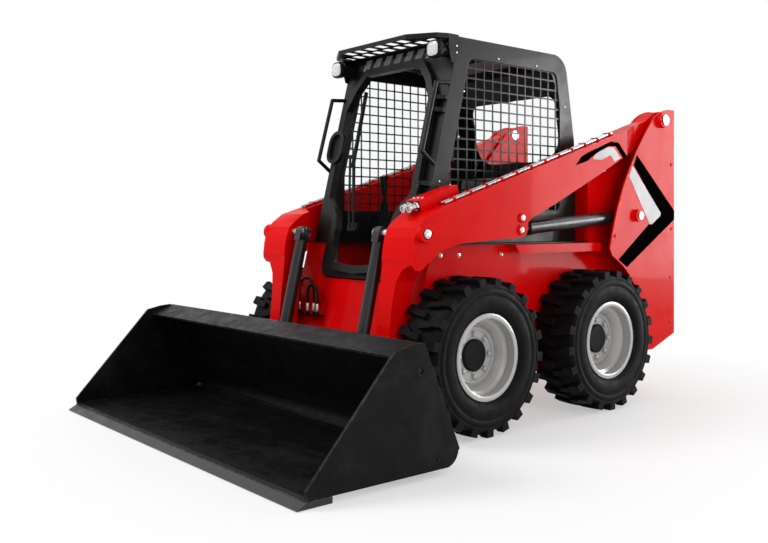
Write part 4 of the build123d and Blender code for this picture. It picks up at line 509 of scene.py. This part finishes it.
for wheel in WHEELS:
    hand = 1 if wheel.endswith("left") else -1
    centre = middle("rim_" + wheel)
    out = Vector((hand, 0, 0))
    body = "wheel_" + wheel
    shape = bmesh.new()
    section = TYRE_PROFILE + [(-x, radius) for x, radius in reversed(TYRE_PROFILE[:-1])]
    lathe(shape, section + section[:1], centre, out, 126)
    bmesh.ops.remove_doubles(shape, verts=shape.verts, dist=0.00001)
    finished("tyre_body_" + wheel, shape, body, tyre_rubber, angle=50)
    shape = bmesh.new()
    for lug in range(2 * LUGS):
        row = 1 if lug % 2 else -1
        low, high = [], []
        for x, swing in LUG_OUTLINE:
            on_tread = x < SHOULDER_X
            foot_r = TREAD_R - 4 if on_tread else LUG_FOOT_R
            grown = 1.06 if x > 0 else 1.0
            low_x = x if on_tread else x + 1.5
            low.append(lug_point(low_x, swing * grown, foot_r, row, lug, centre, hand))
            drop = 0.6 if on_tread else 2.5
            high.append(lug_point(x, swing, TYRE_R - drop, row, lug, centre, hand))
        corners_low = [shape.verts.new(point) for point in low]
        corners_high = [shape.verts.new(point) for point in high]
        shape.faces.new(corners_low)
        shape.faces.new(corners_high)
        for place in range(len(low)):
            shape.faces.new(
                (corners_low[place - 1], corners_low[place], corners_high[place], corners_high[place - 1])
            )
    tread = finished("tyre_lugs_" + wheel, shape, body, tyre_rubber, 0.0035, 30)
    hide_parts("tyre_" + wheel)
    # hub cap, then the wheel nuts, the valve and the rings pressed into the disc
    shape = bmesh.new()
    lathe(shape, HUB_CAP, centre, out, 64)
    finished("hub_cap_" + wheel, shape, body, black_plastic, 0.0, 40)
    shape = bmesh.new()
    for step in range(WHEEL_BOLTS):
        foot = centre + on_disc(hand, 12, BOLT_CIRCLE_R, 90 + 360 / WHEEL_BOLTS * step)
        lathe(shape, WHEEL_NUT, foot, out, 20)
    lathe(shape, VALVE, centre + on_disc(hand, 20, VALVE_R, VALVE_TURN), out, 12)
    for ring, facets in DISC_RINGS:
        lathe(shape, ring, centre, out, facets)
    finished("wheel_trim_" + wheel, shape, body, rim_paint, 0.0, 40)

# ---------------------------------------------------------------- graphics on the towers and arms
TOWER_X = 672.0  # outer faces of a tower, an arm, the cab and the tub
ARM_X = 649.0
CAB_X = 455.0
TUB_X = 530.0
DECAL_WALL = 0.0006

# outlines as (station, height)
TOWER_BLACK = [
    (1406, 1442), (1805, 1112), (1805, 1058), (1305, 776), (1221, 823), (1532, 1031), (1560, 1024),
    (1655, 1086), (1372, 1379),
]
TOWER_GREY = [
    (1364, 1374), (1348, 1352), (1328, 1312), (1345, 1290), (1535, 1032), (1562, 1030), (1652, 1080),
    (1655, 1098), (1500, 1243),
]
ARM_BLACK = [
    (853, 1356), (905, 1408), (959, 1432), (1180, 1509), (1254, 1508), (1338, 1434), (1297, 1420),
    (1230, 1480), (1217, 1484), (1162, 1481), (1037, 1432), (960, 1386),
]
ARM_GREY = [
    (1012, 1400), (1030, 1424), (1072, 1446), (1150, 1474), (1208, 1475), (1276, 1417), (1217, 1394),
    (1180, 1427), (1165, 1427), (1090, 1397),
]
for word, hand in SIDES:
    for name, outline, x, body, finish in (
        ("tower_chevron", TOWER_BLACK, TOWER_X, "machine", decal_black),
        ("tower_strip", TOWER_GREY, TOWER_X + 0.2, "machine", decal_grey),
        ("arm_stripe", ARM_BLACK, ARM_X, "arms", decal_black),
        ("arm_strip", ARM_GREY, ARM_X + 0.2, "arms", decal_grey),
    ):
        shape = bmesh.new()
        prism(shape, [at(hand * x, s, z) for s, z in outline], Vector((hand * DECAL_WALL, 0, 0)))
        finished(f"{name}_{word}", shape, body, finish)

# ---------------------------------------------------------------- bolts
# places as (station, height)
CAB_BOLTS = [
    (116, 1958), (116, 1923), (434, 1927), (748, 1925), (999, 1715), (169, 1726), (129, 1486), (-8, 1248),
]
TUB_BOLTS = [(-70, 872), (60, 871), (377, 871)]
TOWER_BOLTS = [(1190, 960), (1240, 1180), (1760, 420), (1760, 700), (1770, 1000), (1770, 1400)]
LIFT_LUG_BOLTS = [(403, 1062), (395, 998)]
TILT_PIN = (-300, 984)
TILT_BOSS_X = 686.0
TILT_RING = [(-13, 44.5), (-3, 44.5), (0, 41), (0, 29), (-3, 26), (-13, 26)]
TILT_PIN_END = [(-2, 21), (1.2, 21), (2.4, 18), (2.6, 9), (1.0, 7), (1.0, 0)]
TOWER_PINS = [((1665, 1666), 30), ((1405, 1080), 20)]  # with the pin's radius
TOWER_PIN_X = 705.0
for word, hand in SIDES:
    out = (hand, 0, 0)
    shape = bmesh.new()
    for s, z in CAB_BOLTS:
        bolt(shape, at(hand * CAB_X, s, z), out, 6, 5, washer=False)
    finished("cab_bolts_" + word, shape, "machine", steel)
    shape = bmesh.new()
    for s, z in TUB_BOLTS:
        bolt(shape, at(hand * TUB_X, s, z), out, 9, 8)
    finished("chassis_bolts_" + word, shape, "machine", steel)
    shape = bmesh.new()
    for s, z in TOWER_BOLTS:
        bolt(shape, at(hand * TOWER_X, s, z), out, 8, 6)
    finished("tower_bolts_" + word, shape, "machine", red_paint)
    shape = bmesh.new()
    for s, z in LIFT_LUG_BOLTS:
        lathe(shape, [(-1, 26), (7, 26), (9, 23), (9, 15)], at(hand * ARM_X, s, z), out, 32)
    finished("lift_lug_bosses_" + word, shape, "arms", red_paint)
    shape = bmesh.new()
    for s, z in LIFT_LUG_BOLTS:
        lathe(shape, [(0, 16), (12, 16), (14, 13), (14, 0)], at(hand * ARM_X, s, z), out, 32)
    finished("lift_lug_bolts_" + word, shape, "arms", steel)
    # rings and bright ends of the pins
    shape = bmesh.new()
    lathe(shape, TILT_RING, at(hand * TILT_BOSS_X, *TILT_PIN), out, 48)
    finished("tilt_boss_ring_" + word, shape, "arms", red_paint)
    shape = bmesh.new()
    lathe(shape, TILT_PIN_END, at(hand * TILT_BOSS_X, *TILT_PIN), out, 32)
    finished("tilt_pin_end_" + word, shape, "arms", steel)
    shape = bmesh.new()
    for (s, z), radius in TOWER_PINS:
        pin_end = [(-1, radius), (1.5, radius - 1), (2.2, radius - 4), (2.2, radius * 0.5)]
        pin_end += [(0.5, radius * 0.4), (0.5, 0)]
        lathe(shape, pin_end, at(hand * TOWER_PIN_X, s, z), out, 32)
    finished("tower_pin_ends_" + word, shape, "machine", steel)

# ---------------------------------------------------------------- lamps
LENS_X, LENS_S, LENS_Z = 412.0, -14.0, 1934.0
LENS_STEPS = 48
LENS_RINGS = ((-1, 0.80), (2.0, 0.80), (5, 0.74), (7.5, 0.55), (8.5, 0.25))  # (depth, share of its size)
LENS_WIDE, LENS_TALL = 49.0, 46.0
SQUARENESS = 0.6  # 1 is an ellipse, less is squarer
TOWER_BACK_S = 1803.0
TAIL_X = 606.0
TAIL_LAMPS = (
    # (name, height, radius, finish)
    ("tail_lamp_", 1590, 34, lamp_red),
    ("turn_lamp_", 1515, 26, lamp_amber),
)
for word, hand in SIDES:
    shape = bmesh.new()
    rings = []
    for depth, scale in LENS_RINGS:
        ring = []
        for step in range(LENS_STEPS):
            turn = 2 * math.pi * step / LENS_STEPS
            c, n = math.cos(turn), math.sin(turn)
            wide = LENS_WIDE * scale * math.copysign(abs(c) ** SQUARENESS, c)
            tall = LENS_TALL * scale * math.copysign(abs(n) ** SQUARENESS, n)
            ring.append(shape.verts.new(at(hand * LENS_X + wide, LENS_S - depth, LENS_Z + tall)))
        rings.append(ring)
    for low_ring, high_ring in zip(rings, rings[1:]):
        for step in range(LENS_STEPS):
            shape.faces.new((low_ring[step - 1], low_ring[step], high_ring[step], high_ring[step - 1]))
    shape.faces.new(rings[-1])
    finished("lamp_lens_" + word, shape, "machine", lens_white)
    # lamps on the towers' backs, each in a rim
    rims = bmesh.new()
    for name, z, radius, finish in TAIL_LAMPS:
        foot = at(hand * TAIL_X, TOWER_BACK_S, z)
        shape = bmesh.new()
        dome = [(-1, radius), (8, radius), (11, radius - 3), (12, radius - 10), (12, 0)]
        lathe(shape, dome, foot, (0, 1, 0), 32)
        finished(name + word, shape, "machine", finish)
        lathe(rims, [(-1, radius + 6), (4, radius + 6), (5, radius + 3)], foot, (0, 1, 0), 32)
    finished("tail_lamp_rims_" + word, rims, "machine", black_plastic)

# ---------------------------------------------------------------- inside the cab
CEILING_X = 430.0
CEILING_Z = 1980.0
CEILING_FRONT_S, CEILING_BACK_S = 130.0, 900.0
PANEL_PITCH = 90.0
HEADER_PANELS = 8
RIBS_LONG = 10
RIB_LENGTH = 0.45
RIBS_ACROSS_S = (130, 330, 560)

shape = bmesh.new()
corners = [
    at(x, s, CEILING_Z)
    for x, s in (
        (-CEILING_X, CEILING_FRONT_S), (CEILING_X, CEILING_FRONT_S), (CEILING_X, CEILING_BACK_S),
        (-CEILING_X, CEILING_BACK_S),
    )
]
prism(shape, corners, Vector((0, 0, 0.004)))
finished("headliner", shape, "machine", headliner_grey)
shape = bmesh.new()
for step in range(RIBS_LONG):
    x = (step - (RIBS_LONG - 1) / 2) * PANEL_PITCH
    section = [(x - 17, 0), (x + 17, 0), (x + 12, -12), (x - 12, -12)]
    outline = [at(place, CEILING_FRONT_S, CEILING_Z + drop) for place, drop in section]
    prism(shape, outline, Vector((0, RIB_LENGTH, 0)))
for s in RIBS_ACROSS_S:
    section = [(s, 0), (s + 26, 0), (s + 20, -14), (s + 6, -14)]
    outline = [at(-CEILING_X, place, CEILING_Z + drop) for place, drop in section]
    prism(shape, outline, Vector((2 * CEILING_X / 1000, 0, 0)))
finished("headliner_ribs", shape, "machine", black_plastic)
FACE_RUN = 0.2516  # how far the cab's front face runs back for each millimetre up
FACE_FOOT_S, FACE_FOOT_Z = -141.0, 921.0  # its lower edge


def face(x, z, n):
    """Point n millimetres ahead of the cab's sloping front face, at x across and height z."""
    slope = math.hypot(1, FACE_RUN)
    return at(x, FACE_FOOT_S + FACE_RUN * (z - FACE_FOOT_Z) - n / slope, z + n * FACE_RUN / slope)


ahead = Vector((0, -1, FACE_RUN)).normalized()
shape = bmesh.new()
for step in range(HEADER_PANELS):
    x = -3 * PANEL_PITCH + PANEL_PITCH * step
    section = [(x - 44, 1922), (x + 8, 1922), (x + 26, 1984), (x - 26, 1984)]
    prism(shape, [face(place, z, 0.2) for place, z in section], ahead * 0.003)
finished("header_panels", shape, "machine", headliner_grey)

# gasket that narrows the rear window's opening
REAR_WALL = [(1300.0, 1100.0), (1525.0, 1090.0), (2010.0, 1006.0)]  # (height, station) down the cab's back
GASKET_X, GASKET_LOW, GASKET_TOP = 400.0, 1322.0, 1803.0
GASKET_WALL = 0.004
GASKET_CORNERS = (
    # (side across, side up, x and height of the corner's centre, its radius, narrower by)
    (1, 1, 285, 1742, 55, 0),
    (-1, 1, 285, 1742, 55, 0),
    (-1, -1, 200, 1560, 146, 6),
    (1, -1, 200, 1560, 146, 6),
)
CORNER_STEPS = 8


def rear_wall(x, z, out):
    """Point out millimetres behind the cab's back face."""
    (z0, s0), (z1, s1) = REAR_WALL[:2] if z < REAR_WALL[1][0] else REAR_WALL[1:]
    return at(x, s0 + (s1 - s0) * (z - z0) / (z1 - z0) + out, z)


shape = bmesh.new()
middle_z = (GASKET_LOW + GASKET_TOP) / 2
inner, outer = [], []
for side_x, side_z, centre_x, centre_z, round_r, narrower in GASKET_CORNERS:
    edge_z = GASKET_TOP if side_z > 0 else GASKET_LOW
    for step in range(CORNER_STEPS + 1):
        share = step / CORNER_STEPS
        turn = math.radians(90 * (share if side_x * side_z > 0 else 1 - share))
        x = side_x * (centre_x + (round_r - narrower) * math.cos(turn))
        z = centre_z + side_z * round_r * math.sin(turn)
        inner.append((x, z))
        if step == CORNER_STEPS / 2:
            outer.append((side_x * GASKET_X, edge_z))
        else:
            reach = min(GASKET_X / abs(x), (edge_z - middle_z) / (z - middle_z))
            outer.append((x * reach, middle_z + (z - middle_z) * reach))
for place in range(len(inner)):
    outline = [inner[place - 1], inner[place], outer[place], outer[place - 1]]
    prism(shape, [rear_wall(x, z, 0.3) for x, z in outline], Vector((0, GASKET_WALL, 0)))
bmesh.ops.remove_doubles(shape, verts=shape.verts, dist=0.00001)
finished("rear_window_gasket", shape, "machine", black_paint)

# ---------------------------------------------------------------- couplers and clamps on the arms
ARM_RISE = 0.317  # slope of an arm's top edge
ARM_RUN = math.hypot(1, ARM_RISE)
ARM_BACK = Vector((0, 1, ARM_RISE)) / ARM_RUN  # along that edge
ARM_UP = Vector((0, -ARM_RISE, 1)) / ARM_RUN  # away from it
COUPLERS = (("inner", 493), ("outer", 539))  # each with its x
COUPLER_S = -228.0
COUPLER_RISE = 0.030  # axis above the arm's top edge
COUPLER_SLEEVE = [
    (-56, 12), (-56, 18.5), (-53, 20.5), (-44, 20.5), (-42, 18.2), (-40, 18.2), (-38, 20.8),
    (-28, 20.8), (-26, 18), (-19, 18), (-16.5, 15.4), (-14.4, 12.4),
]
COUPLER_MOUTH = [(-56, 12), (-50.4, 11.5), (-50.4, 0)]
COUPLER_NUT = [(-13, 12.5), (-13, 22), (-9, 24), (-2, 24), (0.5, 22)]
BRACKET_BOLTS_X = (486, 516, 546)
BRACKET_BOLTS_S = -190.0
CLAMPS, CLAMP_PITCH, FIRST_CLAMP_S, CLAMP_X = 12, 115.0, -55.0, 600.0


def arm_top(x, s):
    """Point of an arm's top edge at x across and station s."""
    return at(x, s, 1247 + ARM_RISE * (s - 265))


for word, x in COUPLERS:
    shape = bmesh.new()
    foot = arm_top(x, COUPLER_S) + ARM_UP * COUPLER_RISE
    lathe(shape, COUPLER_SLEEVE, foot, ARM_BACK, 40)
    lathe(shape, COUPLER_MOUTH, foot, ARM_BACK, 40)
    lathe(shape, COUPLER_NUT, foot, ARM_BACK, 6)
    finished(f"coupler_sleeve_{word}", shape, "arms", steel)
shape = bmesh.new()
for x in BRACKET_BOLTS_X:
    bolt(shape, arm_top(x, BRACKET_BOLTS_S) + ARM_UP * 0.0583, ARM_UP, 6, 6)
finished("bracket_bolts", shape, "arms", steel)
for word, hand in SIDES:
    shape = bmesh.new()
    for step in range(CLAMPS):
        foot = arm_top(hand * CLAMP_X, FIRST_CLAMP_S + CLAMP_PITCH * step)
        corners = [
            foot + ARM_BACK * along + Vector((hand * across, 0, 0))
            for along, across in ((-0.005, -0.026), (0.005, -0.026), (0.005, 0.026), (-0.005, 0.026))
        ]
        prism(shape, corners, ARM_UP * 0.019)
    finished("pipe_clamps_" + word, shape, "arms", red_paint, 0.002)

# ---------------------------------------------------------------- bucket
BUCKET_SIDE_X = 1109.0
BUCKET_HOLES = (((-734, 443), 13.7), ((-648, 72), 8.7))  # ((station, height), radius) of a black disc that fills a hole as painted shade
# black discs in the side plates' holes: painted shade, standing in for the dark inside of the holes
for word, hand in SIDES:
    shape = bmesh.new()
    for (s, z), radius in BUCKET_HOLES:
        shade_disc = [(-3, 0), (-3, radius), (1, radius), (2, radius - 2), (2, 0)]
        lathe(shape, shade_disc, at(hand * BUCKET_SIDE_X, s, z), (hand, 0, 0), 24)
    finished("bucket_hole_shade_discs_" + word, shape, "tool", black_paint)

# ---------------------------------------------------------------- seat
CUSHION_HALF = 222.0  # half its width before it swells
CUSHION_ROUND = 0.022
VOXEL = 0.006
SEAMS_X = (0.078, 0.186)  # sewn channels on both sides of the middle
SEAM_HALF = 0.006
SEAM_DEPTH = 0.004
CUSHION_TOP_Z = 0.88  # the channels are above it on the cushion
BACKREST_FRONT_S = 0.83  # and ahead of it on the backrest
CUSHIONS = {
    # name: side outline of a cushion as (station, height)
    "seat_cushion": [(404, 832), (396, 908), (412, 926), (452, 930), (758, 906), (768, 832)],
    "seat_backrest": [(772, 838), (764, 916), (812, 1302), (830, 1318), (882, 1312), (894, 1296), (876, 838)],
}
CLOTH_STEPS = 20
CLOTH_REACH = 0.008  # how far a point may swell


def evaluated_mesh(piece):
    """Mesh of piece with its modifiers applied."""
    return bpy.data.meshes.new_from_object(piece.evaluated_get(bpy.context.evaluated_depsgraph_get()))


def swollen(piece):
    """Mesh of piece after a cloth run under inner pressure, with no point moved further than CLOTH_REACH."""
    start = [vertex.co.copy() for vertex in piece.data.vertices]
    cloth = piece.modifiers.new("cloth", "CLOTH")
    cloth.settings.use_pressure = True
    cloth.settings.uniform_pressure_force = 4
    cloth.settings.effector_weights.gravity = 0
    cloth.point_cache.frame_end = CLOTH_STEPS
    for step in range(1, CLOTH_STEPS + 1):
        scene.frame_set(step)
    mesh = evaluated_mesh(piece)
    scene.frame_set(1)
    for vertex, old in zip(mesh.vertices, start):
        moved = vertex.co - old
        if moved.length > CLOTH_REACH:
            vertex.co = old + moved * (CLOTH_REACH / moved.length)
    return mesh


for name, outline in CUSHIONS.items():
    shape = bmesh.new()
    prism(shape, [at(-CUSHION_HALF, s, z) for s, z in outline], Vector((2 * CUSHION_HALF / 1000, 0, 0)))
    bmesh.ops.recalc_face_normals(shape, faces=shape.faces)
    bmesh.ops.bevel(shape, geom=shape.edges[:], offset=CUSHION_ROUND, segments=4, affect="EDGES", profile=0.5)
    mesh = bpy.data.meshes.new(name)
    shape.to_mesh(mesh)
    shape.free()
    rough_piece = linked(name + "_rough", mesh)
    remesh = rough_piece.modifiers.new("remesh", "REMESH")
    remesh.mode = "VOXEL"
    remesh.voxel_size = VOXEL
    even = evaluated_mesh(rough_piece)
    bpy.data.objects.remove(rough_piece)
    cushion = linked(name, even)
    cushion.data = swollen(cushion)
    cushion.modifiers.clear()
    for vertex in cushion.data.vertices:
        across = abs(vertex.co.x)
        for seam in SEAMS_X:
            inward = SEAM_DEPTH * math.exp(-(((across - seam) / SEAM_HALF) ** 2))
            if name == "seat_cushion" and vertex.co.z > CUSHION_TOP_Z:
                vertex.co.z -= inward
            if name == "seat_backrest" and vertex.co.y < AXLE.y + BACKREST_FRONT_S:
                vertex.co.y += inward
    cushion.data.materials.clear()
    cushion.data.materials.append(seat_fabric)
    cushion.data.shade_smooth()
    finer = cushion.modifiers.new("finer", "SUBSURF")
    finer.levels = 1
    finer.render_levels = 1
    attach(cushion, "machine")
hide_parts("seat")

# ---------------------------------------------------------------- hoses
HOSES = {
    # name: (left end, right end, station, height of the loop's top) of a hose, in millimetres
    "hose_outer": (-452.0, -312.0, 29.0, 165.0),
    "hose_inner": (-345.0, -251.0, 9.5, 131.0),
}
HOSE_R = 8.0
HOSE_FOOT_Z = 559.3
LEG_TOP_S, LEG_TOP_Z = -348.0, 1004.0  # front face of the arms' legs at their top
LEG_SLOPE, LEG_DEPTH = 0.106, 122.0
SHELF_Z = 520.0
SHELF_FRONT = LEG_TOP_S - LEG_SLOPE * (LEG_TOP_Z - SHELF_Z) + LEG_DEPTH + 1.3  # just behind the legs
FERRULE = [(-16, 13), (-4, 13), (-3, 10.5), (2, 10.2), (26, 10.2), (28, 9.2), (28, 8.2)]
for name, (first_x, last_x, back_s, top) in HOSES.items():
    half = (last_x - first_x) / 2
    bend = half * math.tan(math.radians(22.5))
    side_top = top - half
    route = [
        (first_x, 0), (first_x, side_top * 0.62), (first_x, side_top + bend), (first_x + half - bend, top),
        (last_x - half + bend, top), (last_x, side_top + bend), (last_x, side_top * 0.62), (last_x, 0),
    ]
    curve = bpy.data.curves.new(name + "_run", "CURVE")
    curve.dimensions = "3D"
    spline = curve.splines.new("NURBS")
    spline.points.add(len(route) - 1)
    for point, (x, rise) in zip(spline.points, route):
        point.co = (*at(x, SHELF_FRONT + back_s, HOSE_FOOT_Z + rise), 1)
    spline.order_u = 3
    spline.use_endpoint_u = True
    curve.bevel_depth = HOSE_R / 1000
    curve.bevel_resolution = 6
    curve.resolution_u = 16
    curve.use_fill_caps = True
    curve.materials.append(hose_rubber)
    run = linked(name + "_run", curve)
    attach(run, "arms")
    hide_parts(name)
    shape = bmesh.new()
    for x in (first_x, last_x):
        lathe(shape, FERRULE, at(x, SHELF_FRONT + back_s, HOSE_FOOT_Z), (0, 0, 1), 24)
    finished(name + "_ferrules", shape, "arms", steel)

# ---------------------------------------------------------------- stage


def seen_rays(tree):
    """1 for a camera, glossy or transmission ray."""
    rays = tree.nodes.new("ShaderNodeLightPath")
    value = rays.outputs["Is Camera Ray"]
    for other in ("Is Glossy Ray", "Is Transmission Ray"):
        either = tree.nodes.new("ShaderNodeMath")
        either.operation = "MAXIMUM"
        tree.links.new(value, either.inputs[0])
        tree.links.new(rays.outputs[other], either.inputs[1])
        value = either.outputs["Value"]
    return value


FLOOR_HALF = 60.0
floor_mesh = bpy.data.meshes.new("floor")
floor_corners = [(x * FLOOR_HALF, y * FLOOR_HALF, 0) for x, y in ((-1, -1), (1, -1), (1, 1), (-1, 1))]
floor_mesh.from_pydata(floor_corners, [], [(0, 1, 2, 3)])
floor = linked("floor", floor_mesh)
floor_paint, tree, shader = material("floor_paint", (0.93, 0.93, 0.93), 0.6)
glow = tree.nodes.new("ShaderNodeEmission")
glow.inputs["Color"].default_value = (1, 1, 1, 1)
mix = tree.nodes.new("ShaderNodeMixShader")
geometry = tree.nodes.new("ShaderNodeNewGeometry")
length = tree.nodes.new("ShaderNodeVectorMath")
length.operation = "LENGTH"
tree.links.new(geometry.outputs["Position"], length.inputs[0])
far = spread(tree, length.outputs["Value"], 0.45, 1, 1.5, 3.2)  # white from 3.2 m out
white = tree.nodes.new("ShaderNodeMath")
white.operation = "MULTIPLY"
tree.links.new(seen_rays(tree), white.inputs[0])
tree.links.new(far, white.inputs[1])
tree.links.new(white.outputs["Value"], mix.inputs["Fac"])
tree.links.new(shader.outputs["BSDF"], mix.inputs[1])
tree.links.new(glow.outputs["Emission"], mix.inputs[2])
tree.links.new(mix.outputs["Shader"], tree.nodes["Material Output"].inputs["Surface"])
floor_mesh.materials.append(floor_paint)
floor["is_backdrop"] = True

world = bpy.data.worlds.new("world")
scene.world = world
world.use_nodes = True
tree = world.node_tree
soft = tree.nodes["Background"]
soft.inputs["Color"].default_value = (1, 1, 1, 1)
soft.inputs["Strength"].default_value = 0.5
backdrop = tree.nodes.new("ShaderNodeBackground")
backdrop.inputs["Color"].default_value = (1, 1, 1, 1)
backdrop.inputs["Strength"].default_value = 1.0
mix = tree.nodes.new("ShaderNodeMixShader")
tree.links.new(seen_rays(tree), mix.inputs["Fac"])
tree.links.new(soft.outputs["Background"], mix.inputs[1])
tree.links.new(backdrop.outputs["Background"], mix.inputs[2])
tree.links.new(mix.outputs["Shader"], tree.nodes["World Output"].inputs["Surface"])


def lamp(name, place, aim, size, power):
    """A square area lamp at place that faces aim."""
    made = linked(name, bpy.data.lights.new(name, "AREA"))
    made.data.shape = "SQUARE"
    made.data.size = size
    made.data.energy = power
    made.location = place
    made.rotation_euler = (Vector(aim) - Vector(place)).to_track_quat("-Z", "Y").to_euler()
    return made


lamp("key", (-3.0, -5.0, 6.5), (0, 0, 0.6), 3.5, 360)
lamp("fill", (6.5, -1.5, 3.5), (0, 0, 0.9), 4.0, 110)
lamp("back", (1.0, 6.0, 5.0), (0, 0, 1.0), 4.0, 150)
# seen only in the gloss of the machine's left side
sheen = lamp("sheen", (3.3, 5.3, 1.7), (0.65, 0.7, 1.1), 2.6, 300)
sheen.visible_diffuse = False
scene.view_settings.view_transform = "Standard"

# ---------------------------------------------------------------- bounds of the shown pieces
low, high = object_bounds()
